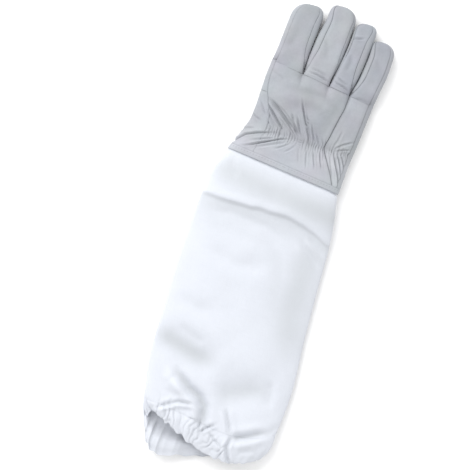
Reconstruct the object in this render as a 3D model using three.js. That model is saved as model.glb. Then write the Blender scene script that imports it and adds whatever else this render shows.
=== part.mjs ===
import * as THREE from 'three';

// A beekeeping glove for the right hand, lying palm down with the thumb folded under the palm.
// Millimetres: X runs towards the little finger, Y towards the fingertips and Z up from the floor.

// Walls and seams
const LEATHER_WALL = 1.3;
const COTTON_WALL = 1.1;
const HEM_WALL = 2.0;
const SEAM_GAP = 0.5;
const LAP_GAP = 0.4;

// Fingers: width and length of each, from the knuckle line to the tip
const INDEX_WIDTH = 33.5;
const INDEX_LENGTH = 68.4;
const MIDDLE_WIDTH = 33.5;
const MIDDLE_LENGTH = 80.8;
const RING_WIDTH = 23.6;
const RING_LENGTH = 74.2;
const LITTLE_WIDTH = 25.6;
const LITTLE_LENGTH = 64.3;
const FINGER_HEIGHT = 17;
const WEB_DEPTH = 1.5;

// Hand, from the leather's hem to the knuckle line
const HAND_LENGTH = 101.75;
const PALM_HEIGHT = 20;
const HEM_WIDTH = 6;
const HEM_SLANT = 16.7;
const KNUCKLE_SLANT = 20;
const EDGE_WRAP = 4.5;

// Thumb, folded flat under the palm
const THUMB_HEIGHT = 11.5;
const THUMB_WIDTH = 31;
const THUMB_LENGTH = 62;

// Sleeve and its gathered end
const SLEEVE_LENGTH = 287.5;
const SLEEVE_WIDTH = 155;
const SLEEVE_HEIGHT = 18;
const SLEEVE_LAP = 5;
const MOUTH_SLANT = 20.5;
const MOUTH_BULGE = 18;
const MOUTH_LIP = 9;
const CASING_LENGTH = 25;
const PLEATS = 24;
const PLEAT_DEPTH = 1.5;

// How square the cross-sections are: 2 is an ellipse, more is boxier
const FINGER_SQUARE = 3;
const TIP_SQUARE = 2.6;
const HAND_SQUARE = 2.8;
const SLEEVE_SQUARE = 2.3;

// How far the underside is pressed flat on the floor: more than 1 makes the flat stretch wider
const FLOOR_PRESS = 1.12;

// Heights that follow the sections: edge of the hand and of the sleeve, fork strips and knuckle dips
const HAND_EDGE = 0.42;
const SLEEVE_EDGE = 0.45;
const STRIP_LOW = 0.36;
const STRIP_HIGH = 0.66;
const KNUCKLE_DIP = 0.26;
const FORK_RISE = 0.2;
const BACK_RISE = 0.45;

const LEATHER = { color: 0xbcc0c6, roughness: 0.72, metalness: 0 };
const COTTON = { color: 0xecf0f7, roughness: 0.9, metalness: 0 };

const HALF_TURN = Math.PI;
const QUARTER_TURN = Math.PI / 2;

const { clamp, lerp } = THREE.MathUtils;
const ease = (from, to, value) => THREE.MathUtils.smoothstep(value, from, to);
const signedPower = (value, power) => Math.sign(value) * Math.abs(value) ** power;
const hump = (distance, reach) => Math.exp(-((distance / reach) ** 2));
const pressed = (down) => Math.min(1, FLOOR_PRESS * down);

// Shares of a finger's width: root, sway, taper, how far the tip's peak stands to one side, and how much of
// each fourchette shows from above. Shares of its length: lean and the rounded cap.
const FINGERS = [
  {
    name: 'index', width: INDEX_WIDTH, length: INDEX_LENGTH, root: 1.045, lean: 0.098, sway: 0,
    taper: 0, cap: 0.26, peak: 0.05, stripLeft: 0, stripRight: 0.18,
  },
  {
    name: 'middle', width: MIDDLE_WIDTH, length: MIDDLE_LENGTH, root: 0.893, lean: 0.137, sway: 0,
    taper: 0.11, cap: 0.2, peak: -0.15, stripLeft: 0.2, stripRight: 0.1,
  },
  {
    name: 'ring', width: RING_WIDTH, length: RING_LENGTH, root: 1.0, lean: 0.143, sway: 0.07,
    taper: 0, cap: 0.15, peak: 0, stripLeft: 0.08, stripRight: 0.3,
  },
  {
    name: 'little', width: LITTLE_WIDTH, length: LITTLE_LENGTH, root: 1.07, lean: 0.115, sway: 0.1,
    taper: 0, cap: 0.2, peak: -0.14, stripLeft: 0.2, stripRight: 0,
  },
];

// Edges of the hand as shares of its width at the knuckles, from the hem (0) to the knuckle line (1).
const HAND_ROWS = [
  { along: 0.0, left: -0.529, right: 0.555, height: 1.05 },
  { along: 0.08, left: -0.495, right: 0.561, height: 1.08 },
  { along: 0.2, left: -0.451, right: 0.569, height: 1.05 },
  { along: 0.33, left: -0.404, right: 0.578, height: 0.98 },
  { along: 0.46, left: -0.385, right: 0.591, height: 1.02 },
  { along: 0.6, left: -0.377, right: 0.608, height: 1.02 },
  { along: 0.8, left: -0.368, right: 0.629, height: 0.98 },
  { along: 1.0, left: -0.3485, right: 0.6515, height: 0.9 },
];

// Edges of the sleeve as shares of its width, from the leather's hem (0) to the mouth (1).
const SLEEVE_ROWS = [
  { along: 0.0, left: -0.42, right: 0.417, height: 1.1 },
  { along: 0.06, left: -0.451, right: 0.428, height: 1.25 },
  { along: 0.15, left: -0.478, right: 0.4425, height: 1.2 },
  { along: 0.24, left: -0.497, right: 0.453, height: 0.95 },
  { along: 0.38, left: -0.516, right: 0.453, height: 0.88 },
  { along: 0.58, left: -0.5225, right: 0.4587, height: 0.82 },
  { along: 0.75, left: -0.528, right: 0.4716, height: 0.82 },
  { along: 0.85, left: -0.5135, right: 0.461, height: 0.92 },
  { along: 0.92, left: -0.4955, right: 0.4387, height: 1.1 },
  { along: 0.96, left: -0.476, right: 0.4226, height: 1.15 },
  { along: 1.0, left: -0.421, right: 0.387, height: 1.1 },
];

// Seams on the back, in hand widths: distance of the gusset's from the thumb side and of the side panel's
// from the far side.
const SEAM_ROWS = [
  { along: 0.0, gusset: 0.215, side: 0.06 },
  { along: 0.11, gusset: 0.2, side: 0.109 },
  { along: 0.2, gusset: 0.19, side: 0.162 },
  { along: 0.27, gusset: 0.178, side: 0.204 },
  { along: 0.35, gusset: 0.168, side: 0.251 },
  { along: 0.41, gusset: 0.158, side: 0.266 },
  { along: 0.5, gusset: 0.128, side: 0.257 },
  { along: 0.6, gusset: 0.083, side: 0.252 },
  { along: 0.72, gusset: 0.047, side: 0.242 },
  { along: 0.83, gusset: 0.038, side: 0.23 },
  { along: 1.0, gusset: 0.034, side: 0.236 },
];

// Folds in the leather of the back: ends as shares across the hand and along it, depth and reach in walls.
const BACK_FOLDS = [
  { x0: -0.31, y0: 0.7, x1: -0.04, y1: 0.48, depth: 1.5, reach: 2.4 },
  { x0: 0.03, y0: 0.76, x1: 0.13, y1: 0.44, depth: 1.4, reach: 2.0 },
  { x0: -0.46, y0: 0.12, x1: -0.2, y1: 0.33, depth: 1.6, reach: 2.4 },
  { x0: 0.44, y0: 0.36, x1: 0.54, y1: 0.1, depth: 1.5, reach: 2.2 },
  { x0: -0.24, y0: 0.31, x1: 0.5, y1: 0.4, depth: 1.2, reach: 2.6 },
];

// Dents and ridges on top of the sleeve: place as shares of its width and length, depth in walls.
const SLEEVE_DENTS = [
  { across: -0.3, along: 0.7, width: 0.2, length: 0.05, depth: 1.6 },
  { across: 0.2, along: 0.8, width: 0.14, length: 0.08, depth: 1.4 },
  { across: -0.18, along: 0.83, width: 0.08, length: 0.04, depth: 1.8 },
  { across: 0.25, along: 0.36, width: 0.16, length: 0.1, depth: 1.2 },
  { across: 0.12, along: 0.93, width: 0.07, length: 0.03, depth: 1.8 },
];

const HAND_WIDTH = FINGERS.reduce((sum, finger) => sum + finger.width * finger.root, 0);
const HEM_SHARE = HEM_WIDTH / HAND_LENGTH;
const BASE_SEAM = 0.98;
const CROTCH_SHARE = 0.66;
const GAP_SHARE = SEAM_GAP / HAND_LENGTH;
const PANEL_START = HEM_SHARE + GAP_SHARE;

// Reads a table at a place between its rows, with an eased step from row to row.
function readTable(table, along) {
  const place = clamp(along, 0, 1);
  let index = 0;
  while (index < table.length - 2 && table[index + 1].along < place) index += 1;
  const before = table[Math.max(index - 1, 0)];
  const from = table[index];
  const to = table[index + 1];
  const after = table[Math.min(index + 2, table.length - 1)];
  const step = to.along - from.along;
  const t = (place - from.along) / step;
  const result = {};
  for (const key of Object.keys(from)) {
    const slopeFrom = (to[key] - before[key]) / (to.along - before.along) * step;
    const slopeTo = (after[key] - from[key]) / (after.along - from.along) * step;
    const bend = (2 * t ** 3 - 3 * t ** 2 + 1) * from[key] + (3 * t ** 2 - 2 * t ** 3) * to[key];
    result[key] = bend + (t ** 3 - 2 * t ** 2 + t) * slopeFrom + (t ** 3 - t ** 2) * slopeTo;
  }
  return result;
}

// Turns vertices of an outer and an inner face, joined by the same quads, into one closed wall.
function thickSheet(outer, inner, quads) {
  const positions = [...outer, ...inner].flatMap((point) => point.toArray());
  const indices = [];
  const edges = new Map();
  for (const quad of quads) {
    const corners = quad.filter((corner, place) => quad.indexOf(corner) === place);
    for (let place = 1; place + 1 < corners.length; place += 1) {
      const [a, b, c] = [corners[0], corners[place], corners[place + 1]];
      indices.push(a, b, c, a + outer.length, c + outer.length, b + outer.length);
    }
    corners.forEach((corner, place) => {
      const next = corners[(place + 1) % corners.length];
      if (edges.has(`${next},${corner}`)) edges.delete(`${next},${corner}`);
      else edges.set(`${corner},${next}`, [corner, next]);
    });
  }
  for (const [from, to] of edges.values()) {
    indices.push(to, from, from + outer.length, to, from + outer.length, to + outer.length);
  }
  const geometry = new THREE.BufferGeometry();
  geometry.setAttribute('position', new THREE.Float32BufferAttribute(positions, 3));
  geometry.setIndex(indices);
  return geometry;
}

// Collects a sheet row by row: each vertex has its outer and its inner point.
class Sheet {
  constructor() {
    this.outer = [];
    this.inner = [];
    this.quads = [];
  }

  addRow(count, place) {
    const row = [];
    for (let index = 0; index <= count; index += 1) {
      const { outer, inner } = place(index / count, index);
      row.push(this.outer.push(outer) - 1);
      this.inner.push(inner);
    }
    return row;
  }

  join(lower, upper) {
    for (let index = 0; index + 1 < lower.length; index += 1) {
      this.quads.push([lower[index], upper[index], upper[index + 1], lower[index + 1]]);
    }
  }

  addRing(count, place) {
    const ring = this.addRow(count - 1, (_, index) => place(index / count));
    return [...ring, ring[0]];
  }

  mesh(name, look, flipped = false) {
    const quads = flipped ? this.quads.map((quad) => [...quad].reverse()) : this.quads;
    const geometry = thickSheet(this.outer, this.inner, quads);
    geometry.computeVertexNormals();
    const mesh = new THREE.Mesh(geometry, new THREE.MeshStandardMaterial(look));
    mesh.name = name;
    return mesh;
  }
}

// Outer and inner point of a surface at the same place.
const wall = (surface, thickness) => ({ outer: surface(0), inner: surface(thickness) });

// The hand's row at a share of its length: a slanted line from the left to the right edge.
function handRow(along) {
  const { left, right, height } = readTable(HAND_ROWS, along);
  const middle = HAND_LENGTH * along;
  const slant = lerp(HEM_SLANT, KNUCKLE_SLANT, along);
  return {
    left: new THREE.Vector2(left * HAND_WIDTH, middle + slant / 2),
    right: new THREE.Vector2(right * HAND_WIDTH, middle - slant / 2),
    height: height * PALM_HEIGHT,
  };
}

// Knuckle line: where each finger's root begins and ends.
const KNUCKLES = handRow(1);
const forkShares = [0];
for (const finger of FINGERS) {
  forkShares.push(forkShares.at(-1) + finger.width * finger.root / HAND_WIDTH);
}
const onKnuckles = (share) => new THREE.Vector2().lerpVectors(KNUCKLES.left, KNUCKLES.right, share);
const forks = forkShares.map(onKnuckles);

// Distance of a point from a straight fold, and how far along it the nearest place is.
function fromLine(x, y, start, end) {
  const dx = end.x - start.x;
  const dy = end.y - start.y;
  const share = clamp(((x - start.x) * dx + (y - start.y) * dy) / (dx * dx + dy * dy), 0, 1);
  return { share, distance: Math.hypot(x - start.x - share * dx, y - start.y - share * dy) };
}

function backFolds(x, y) {
  return BACK_FOLDS.reduce((sum, fold) => {
    const start = { x: fold.x0 * HAND_WIDTH, y: fold.y0 * HAND_LENGTH };
    const end = { x: fold.x1 * HAND_WIDTH, y: fold.y1 * HAND_LENGTH };
    const { distance } = fromLine(x, y, start, end);
    return sum - fold.depth * LEATHER_WALL * hump(distance, fold.reach * LEATHER_WALL);
  }, 0);
}

// The thumb's plan: a line from the crotch to the hem on the palm, which the thumb is folded over,
// and its two edges up to the tip. Places are shares of the hand's width and length.
const HEEL = new THREE.Vector2(-0.07 * HAND_WIDTH, HEM_WIDTH + 0.03 * HAND_LENGTH);
const THUMB_BASE = new THREE.Vector2(-0.2 * HAND_WIDTH, 0.375 * HAND_LENGTH);
const THUMB_LEAN = 0.866;
const thumbAxis = new THREE.Vector2(Math.cos(THUMB_LEAN), Math.sin(THUMB_LEAN));
const thumbTip = THUMB_BASE.clone().addScaledVector(thumbAxis, THUMB_LENGTH);
const LIFT_AT_ROOT = 1.12;
const LIFT_AT_TIP = 0.6;

// How strongly the thumb lifts what lies over it: 1 over the thumb, 0 well outside it.
function thumbLift(x, y) {
  const { share, distance } = fromLine(x, y, THUMB_BASE, thumbTip);
  const reach = THUMB_WIDTH * lerp(LIFT_AT_ROOT, LIFT_AT_TIP, share);
  return (1 - ease(0.85, 1.4, distance / reach)) * thumbFullness(y);
}

// The folded thumb is thin by the hem and full from a third of the hand's length.
function thumbFullness(y) {
  return 0.36 + 0.64 * ease(HEM_SHARE * HAND_LENGTH, 0.42 * HAND_LENGTH, y);
}

// Height of the finger roots across the knuckles: high on each finger, low at each fork.
function knuckleLobe(x) {
  const share = (x - KNUCKLES.left.x) / HAND_WIDTH;
  let finger = 0;
  while (finger < FINGERS.length - 1 && share > forkShares[finger + 1]) finger += 1;
  const middle = (forkShares[finger] + forkShares[finger + 1]) / 2;
  const half = (forkShares[finger + 1] - forkShares[finger]) / 2;
  return clamp(Math.abs(share - middle) / half, 0, 1) ** 4;
}

// A point on the hand: along from the hem to the knuckles, angle round the section from the far side.
function handPoint(along, angle, inset, lift) {
  const row = handRow(along);
  const across = signedPower(Math.cos(angle), 2 / HAND_SQUARE);
  const up = Math.abs(Math.sin(angle)) ** (2 / HAND_SQUARE);
  const half = (row.right.x - row.left.x) / 2;
  const x = (row.left.x + row.right.x) / 2 + across * (half - inset);
  const y = lerp(row.left.y, row.right.y, (x - row.left.x) / (2 * half));
  const edge = HAND_EDGE * row.height;
  const lobes = ease(0.8, 1, along);
  if (Math.sin(angle) < 0) {
    const overThumb = lift * (THUMB_HEIGHT + 2 * LAP_GAP) * thumbLift(x, y) * (1 - ease(0.85, 1, along));
    const raised = overThumb + lobes * FORK_RISE * FINGER_HEIGHT * knuckleLobe(x);
    return new THREE.Vector3(x, y, edge - pressed(up) * (edge - raised - inset));
  }
  const clearOfHem = ease(HEM_SHARE, HEM_SHARE + 0.1, along);
  const thumbUnder = BACK_RISE * THUMB_HEIGHT * thumbLift(x, y) * clearOfHem * (1 - lobes);
  const roots = FINGER_HEIGHT * (1 - KNUCKLE_DIP * knuckleLobe(x));
  const top = lerp(row.height, roots, lobes) + thumbUnder + clearOfHem * backFolds(x, y);
  return new THREE.Vector3(x, y, edge + up * (top - edge - inset));
}

// The angle at which a hand or finger section reaches a share of its half width from its middle.
const angleAt = (share, square) => Math.acos(signedPower(clamp(share, -1, 1), square / 2));

// Angle on the hand's back at a distance from the left edge or from the right edge.
function handAngle(along, fromLeft) {
  const row = handRow(along);
  const half = (row.right.x - row.left.x) / 2;
  return angleAt(fromLeft / half - 1, HAND_SQUARE);
}

function handSpan(along) {
  const row = handRow(along);
  return row.right.x - row.left.x;
}

const seamAt = (along, key) => readTable(SEAM_ROWS, along)[key] * HAND_WIDTH;

// A point on a finger: along from the knuckle line to the tip.
function fingerPoint(index, along, angle, inset) {
  const finger = FINGERS[index];
  const root = new THREE.Vector2().lerpVectors(forks[index], forks[index + 1], 0.5);
  const capShare = clamp((along - 1 + finger.cap) / finger.cap, 0, 1);
  const cap = (1 - capShare ** TIP_SQUARE) ** (1 / TIP_SQUARE);
  const spread = lerp(finger.root, 1, ease(0, 0.3, along)) * (1 - finger.taper * ease(0.5, 0.85, along));
  const half = (finger.width * spread / 2 - inset) * cap;
  const rise = (FINGER_HEIGHT / 2 - inset) * cap;
  const reach = (finger.length - inset) * along;
  const sideways = finger.sway * Math.sin(HALF_TURN * along) + finger.peak * capShare ** 2;
  const across = signedPower(Math.cos(angle), 2 / FINGER_SQUARE);
  const up = signedPower(Math.sin(angle), 2 / FINGER_SQUARE);
  const x = root.x + finger.lean * reach + finger.width * sideways + half * across;
  return new THREE.Vector3(x, root.y + reach, FINGER_HEIGHT / 2 + rise * (up < 0 ? -pressed(-up) : up));
}

// Places of a finger's rows: even steps to the cap, then even turns over it.
const STRAIGHT_STEPS = 4;
const CAP_STEPS = 5;
const LAST_TURN = 0.985;
function fingerSteps(index) {
  const { cap } = FINGERS[index];
  const steps = [];
  for (let step = 1; step <= STRAIGHT_STEPS; step += 1) steps.push((1 - cap) * step / STRAIGHT_STEPS);
  for (let step = 1; step <= CAP_STEPS; step += 1) {
    const turn = QUARTER_TURN * Math.min(step / CAP_STEPS, LAST_TURN);
    steps.push(1 - cap + cap * Math.sin(turn) ** (2 / TIP_SQUARE));
  }
  return steps;
}

// Angles above and below a finger's side where its fourchette ends.
const LOW_ANGLE = 0.6;
const ROOT_BLEND = 0.16;
const LAST_ROW = 0.98;
const stripAngle = (share) => angleAt(1 - 2 * share, FINGER_SQUARE);
const wrapAngle = (index) => angleAt(1 - 2 * EDGE_WRAP / FINGERS[index].width, FINGER_SQUARE);

// Half the seam's gap as an angle on a finger's side.
const seamTurn = (width) => SEAM_GAP / width;

// The back of one finger, from the seam across the knuckles to the tip.
function fingerBack(index) {
  const sheet = new Sheet();
  const finger = FINGERS[index];
  const isFirst = index === 0;
  const isLast = index === FINGERS.length - 1;
  const rightEdge = isLast ? wrapAngle(index) : stripAngle(finger.stripRight);
  const leftEdge = isFirst ? wrapAngle(index) : stripAngle(finger.stripLeft);
  const right = rightEdge + seamTurn(finger.width);
  const left = HALF_TURN - leftEdge - seamTurn(finger.width);
  const columns = 7;
  const rootEnd = forkShares[index + 1] * HAND_WIDTH - (isLast ? EDGE_WRAP : 0);
  const rootStart = forkShares[index] * HAND_WIDTH + (isFirst ? seamAt(1, 'gusset') : 0);
  const rootRight = handAngle(1, rootEnd - SEAM_GAP / 2);
  const rootLeft = handAngle(1, rootStart + SEAM_GAP / 2);
  const onHand = (share, inset) => (
    handPoint(BASE_SEAM + GAP_SHARE / 2, lerp(rootRight, rootLeft, share), inset, 0));
  let previous = sheet.addRow(columns, (share) => wall((inset) => onHand(share, inset), LEATHER_WALL));
  for (const along of fingerSteps(index)) {
    const row = sheet.addRow(columns, (share) => wall((inset) => {
      const onFinger = fingerPoint(index, along, lerp(right, left, share), inset);
      return onHand(share, inset).lerp(onFinger, ease(0, ROOT_BLEND, along));
    }, LEATHER_WALL));
    sheet.join(previous, row);
    previous = row;
  }
  return sheet.mesh(`${finger.name}_back`, LEATHER);
}

// A fourchette: one strip that runs down the side of a finger, round the fork and up the next finger.
function fourchette(index) {
  const sheet = new Sheet();
  const fork = forks[index + 1];
  const rows = 3;
  const lowTurn = LOW_ANGLE - seamTurn(RING_WIDTH);
  const low = STRIP_LOW * FINGER_HEIGHT;
  const high = STRIP_HIGH * FINGER_HEIGHT;
  const crotch = sheet.addRow(rows, (share) => wall((inset) => (
    new THREE.Vector3(fork.x, fork.y + WEB_DEPTH - inset, lerp(low, high, share))), LEATHER_WALL));
  const sides = [
    {
      finger: index,
      from: -lowTurn,
      to: stripAngle(FINGERS[index].stripRight) - seamTurn(RING_WIDTH),
      flipped: false,
    },
    {
      finger: index + 1,
      from: HALF_TURN + lowTurn,
      to: HALF_TURN - stripAngle(FINGERS[index + 1].stripLeft) + seamTurn(RING_WIDTH),
      flipped: true,
    },
  ];
  for (const side of sides) {
    let previous = crotch;
    for (const step of fingerSteps(side.finger)) {
      const along = Math.min(step, LAST_ROW);
      const row = sheet.addRow(rows, (share) => wall((inset) => {
        const onFinger = fingerPoint(side.finger, along, lerp(side.from, side.to, share), inset);
        const settled = ease(0, ROOT_BLEND, along);
        onFinger.z = lerp(lerp(low, high, share), onFinger.z, settled);
        return onFinger;
      }, LEATHER_WALL));
      if (side.flipped) sheet.join(row, previous);
      else sheet.join(previous, row);
      previous = row;
    }
  }
  return sheet.mesh(`fourchette_${FINGERS[index].name}_${FINGERS[index + 1].name}`, LEATHER);
}

// The back of the hand, between the thumb's gusset and the side panel, up to the seam across the knuckles.
function backPanel() {
  const sheet = new Sheet();
  const rows = 16;
  const columns = 16;
  let previous = null;
  for (let step = 0; step <= rows; step += 1) {
    const along = lerp(PANEL_START, BASE_SEAM - GAP_SHARE, step / rows);
    const right = handAngle(along, handSpan(along) - seamAt(along, 'side') - SEAM_GAP / 2);
    const left = handAngle(along, seamAt(along, 'gusset') + SEAM_GAP / 2);
    const row = sheet.addRow(columns, (share) => wall(
      (inset) => handPoint(along, lerp(right, left, share), inset, 0), LEATHER_WALL));
    if (previous) sheet.join(previous, row);
    previous = row;
  }
  return sheet.mesh('back_panel', LEATHER);
}

// The far side of the hand, between the back and the palm's wrapped edge.
function sidePanel() {
  const sheet = new Sheet();
  const rows = 14;
  const columns = 5;
  let previous = null;
  for (let step = 0; step <= rows; step += 1) {
    const along = lerp(PANEL_START, BASE_SEAM - GAP_SHARE, step / rows);
    const right = handAngle(along, handSpan(along) - EDGE_WRAP - SEAM_GAP / 2);
    const left = handAngle(along, handSpan(along) - seamAt(along, 'side') + SEAM_GAP / 2);
    const row = sheet.addRow(columns, (share) => wall(
      (inset) => handPoint(along, lerp(right, left, share), inset, 0), LEATHER_WALL));
    if (previous) sheet.join(previous, row);
    previous = row;
  }
  return sheet.mesh('side_panel', LEATHER);
}

// The palm wraps round both edges of the hand onto its back, up to these angles.
const palmLeft = (along) => handAngle(along, seamAt(along, 'gusset') - SEAM_GAP / 2);
const palmRight = (along) => 2 * HALF_TURN + handAngle(along, handSpan(along) - EDGE_WRAP + SEAM_GAP / 2);

// Shares of that turn for the palm's columns at the knuckles, where each finger's front has as many columns.
const FRONT_COLUMNS = 6;
function palmColumns() {
  const ends = [palmLeft(1), ...forkShares.slice(1, -1).map((share) => (
    2 * HALF_TURN - handAngle(1, share * HAND_WIDTH))), palmRight(1)];
  const angles = FINGERS.flatMap((_, index) => Array.from({ length: FRONT_COLUMNS }, (__, column) => (
    lerp(ends[index], ends[index + 1], column / FRONT_COLUMNS))));
  return [...angles, ends.at(-1)].map((angle) => (angle - ends[0]) / (ends.at(-1) - ends[0]));
}

const PALM_SHARES = palmColumns();
const CROTCH_COLUMN = 4;
const palmAngle = (along, column) => lerp(palmLeft(along), palmRight(along), PALM_SHARES[column]);
const crotchAngle = palmAngle(CROTCH_SHARE, CROTCH_COLUMN);

// Angle of the line that the thumb is folded over, at a share of the hand's length below the crotch.
function foldLineAngle(along) {
  const row = handRow(along);
  const half = (row.right.x - row.left.x) / 2;
  const share = clamp((CROTCH_SHARE - along) / (CROTCH_SHARE - HEM_SHARE), 0, 1);
  const crotchX = handPoint(CROTCH_SHARE, crotchAngle, 0, 0).x;
  const x = lerp(crotchX, HEEL.x, share);
  return 2 * HALF_TURN - angleAt((x - row.left.x) / half - 1, HAND_SQUARE);
}

// Palm and finger fronts in one piece; below the crotch it ends at the line that the thumb is folded over.
function palmPanel() {
  const sheet = new Sheet();
  const columns = PALM_SHARES.length - 1;
  const angleOf = (along, column) => {
    if (along >= CROTCH_SHARE) return palmAngle(along, column);
    const crotchShare = PALM_SHARES[CROTCH_COLUMN];
    const place = (PALM_SHARES[column] - crotchShare) / (1 - crotchShare);
    return lerp(foldLineAngle(along), palmRight(along), place);
  };
  const lowerRows = 9;
  const upperRows = 6;
  let previous = null;
  for (let step = 0; step <= lowerRows; step += 1) {
    const along = lerp(PANEL_START, CROTCH_SHARE, step / lowerRows);
    const start = step === lowerRows ? 0 : CROTCH_COLUMN;
    const row = sheet.addRow(columns - start, (_, column) => wall(
      (inset) => handPoint(along, angleOf(along, column + start), inset, 1), LEATHER_WALL));
    if (previous) sheet.join(previous, row.slice(step === lowerRows ? CROTCH_COLUMN : 0));
    previous = row;
  }
  for (let step = 1; step <= upperRows; step += 1) {
    const along = lerp(CROTCH_SHARE, 1, step / upperRows);
    const row = sheet.addRow(columns, (_, column) => wall(
      (inset) => handPoint(along, angleOf(along, column), inset, 1), LEATHER_WALL));
    sheet.join(previous, row);
    previous = row;
  }
  FINGERS.forEach((finger, index) => {
    const wrap = wrapAngle(index) - seamTurn(finger.width);
    const strip = LOW_ANGLE + seamTurn(finger.width);
    const from = HALF_TURN + (index === 0 ? -wrap : strip);
    const to = 2 * HALF_TURN + (index === FINGERS.length - 1 ? wrap : -strip);
    let lower = previous.slice(index * FRONT_COLUMNS, (index + 1) * FRONT_COLUMNS + 1);
    for (const along of fingerSteps(index)) {
      const row = sheet.addRow(FRONT_COLUMNS, (share) => wall(
        (inset) => fingerPoint(index, along, lerp(from, to, share), inset), LEATHER_WALL));
      sheet.join(lower, row);
      lower = row;
    }
  });
  return sheet.mesh('palm_panel', LEATHER);
}

// The thumb's edges from the fold line to the tip, as points at a share of the way.
function thumbEdges(along) {
  const crotch = handPoint(CROTCH_SHARE - 2 * LEATHER_WALL / HAND_LENGTH, crotchAngle, 0, 0);
  const side = new THREE.Vector2(-thumbAxis.y, thumbAxis.x);
  const middle = THUMB_BASE.clone().addScaledVector(thumbAxis, THUMB_LENGTH * lerp(0.2, 0.74, along));
  const leftStraight = middle.clone().addScaledVector(side, THUMB_WIDTH / 2);
  const rightStraight = middle.clone().addScaledVector(side, -THUMB_WIDTH / 2);
  const settle = ease(0, 0.75, along);
  return {
    left: new THREE.Vector2(crotch.x, crotch.y).lerp(leftStraight, settle),
    right: HEEL.clone().lerp(rightStraight, settle),
  };
}

// A point of the thumb: along from the fold line to the tip, share across from the left to the right edge.
const THUMB_STRAIGHT = 0.62;
function thumbPoint(along, share, inset, isBack) {
  const { left, right } = thumbEdges(Math.min(along / THUMB_STRAIGHT, 1));
  const capShare = clamp((along - THUMB_STRAIGHT) / (1 - THUMB_STRAIGHT), 0, 1);
  const turn = HALF_TURN * (1 - share);
  const across = signedPower(Math.cos(turn), 2 / FINGER_SQUARE);
  const up = Math.sin(turn) ** (2 / FINGER_SQUARE);
  const cap = Math.cos(QUARTER_TURN * capShare);
  const push = Math.sin(QUARTER_TURN * capShare) * (THUMB_WIDTH / 2 - inset);
  const middle = new THREE.Vector2().addVectors(left, right).multiplyScalar(0.5);
  const half = new THREE.Vector2().subVectors(right, left).multiplyScalar(0.5);
  const width = half.length();
  const reach = across * cap * (width - inset) / width;
  const plan = middle.addScaledVector(half, reach).addScaledVector(thumbAxis, push);
  const edge = THUMB_HEIGHT / 2 * thumbFullness(plan.y);
  const rise = (edge - inset) * cap;
  return new THREE.Vector3(plan.x, plan.y, isBack ? edge + rise * up : edge - rise * pressed(up));
}

// Front of the thumb with the ball of the thumb: from its seam on the hand's back, round the hand's edge,
// to the tip.
function thumbFront() {
  const sheet = new Sheet();
  const acrossSteps = 10;
  const wrapSteps = 8;
  const thumbSteps = 9;
  const seamEdge = SEAM_GAP / THUMB_WIDTH;
  const alongAt = (share) => lerp(CROTCH_SHARE - 2 * GAP_SHARE, PANEL_START, share);
  let previous = null;
  for (let step = 0; step <= wrapSteps; step += 1) {
    const row = sheet.addRow(acrossSteps, (share) => wall((inset) => {
      const along = alongAt(share);
      const start = handAngle(along, seamAt(along, 'gusset') - SEAM_GAP / 2);
      const end = foldLineAngle(along) - 2 * SEAM_GAP / HAND_WIDTH;
      const turned = step / wrapSteps;
      const nearCrotch = ease(CROTCH_SHARE - 0.16, CROTCH_SHARE, along) * lerp(1, 0.4, ease(0.5, 1, turned));
      return handPoint(along, lerp(start, end, turned), inset, nearCrotch);
    }, LEATHER_WALL));
    if (previous) sheet.join(previous, row);
    previous = row;
  }
  for (let step = 1; step <= thumbSteps; step += 1) {
    const along = step / thumbSteps * LAST_ROW;
    const row = sheet.addRow(acrossSteps, (share) => wall(
      (inset) => thumbPoint(along, lerp(seamEdge, 1 - seamEdge, share), inset, false), LEATHER_WALL));
    sheet.join(previous, row);
    previous = row;
  }
  return sheet.mesh('thumb_front', LEATHER);
}

// Back of the thumb, which lies against the palm.
function thumbBack() {
  const sheet = new Sheet();
  const acrossSteps = 10;
  const thumbSteps = 9;
  const seamEdge = SEAM_GAP / THUMB_WIDTH;
  let previous = null;
  for (let step = 0; step <= thumbSteps; step += 1) {
    const along = lerp(SEAM_GAP / THUMB_LENGTH, LAST_ROW, step / thumbSteps);
    const row = sheet.addRow(acrossSteps, (share) => wall(
      (inset) => thumbPoint(along, lerp(seamEdge, 1 - seamEdge, share), inset, true), LEATHER_WALL));
    if (previous) sheet.join(previous, row);
    previous = row;
  }
  return sheet.mesh('thumb_back', LEATHER, true);
}

// Columns round the hem and the sleeve, which lie one inside the other.
const RING_COLUMNS = 36;

// The folded band at the leather's edge, a full ring round the wrist end of the hand.
function leatherHem() {
  const sheet = new Sheet();
  const columns = RING_COLUMNS;
  const rows = [0, 0.5, 1];
  let previous = null;
  for (const step of rows) {
    const row = sheet.addRing(columns, (share) => wall(
      (inset) => handPoint(HEM_SHARE * step, 2 * HALF_TURN * share, inset, 0), HEM_WALL));
    if (previous) sheet.join(previous, row);
    previous = row;
  }
  return sheet.mesh('leather_hem', LEATHER);
}

// Top of the sleeve sinks in its dents; a sharp step shows where it folds below the leather.
const STEP_FOLD = 0.155;
function sleeveDents(x, along) {
  const across = x / SLEEVE_WIDTH;
  const dents = SLEEVE_DENTS.reduce((sum, dent) => sum - dent.depth * COTTON_WALL
    * hump(across - dent.across, dent.width) * hump(along - dent.along, dent.length), 0);
  const stepPlace = STEP_FOLD + 0.05 * ease(0.2, 0.42, across);
  return dents - 0.16 * SLEEVE_HEIGHT * ease(stepPlace - 0.008, stepPlace + 0.008, along);
}

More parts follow.
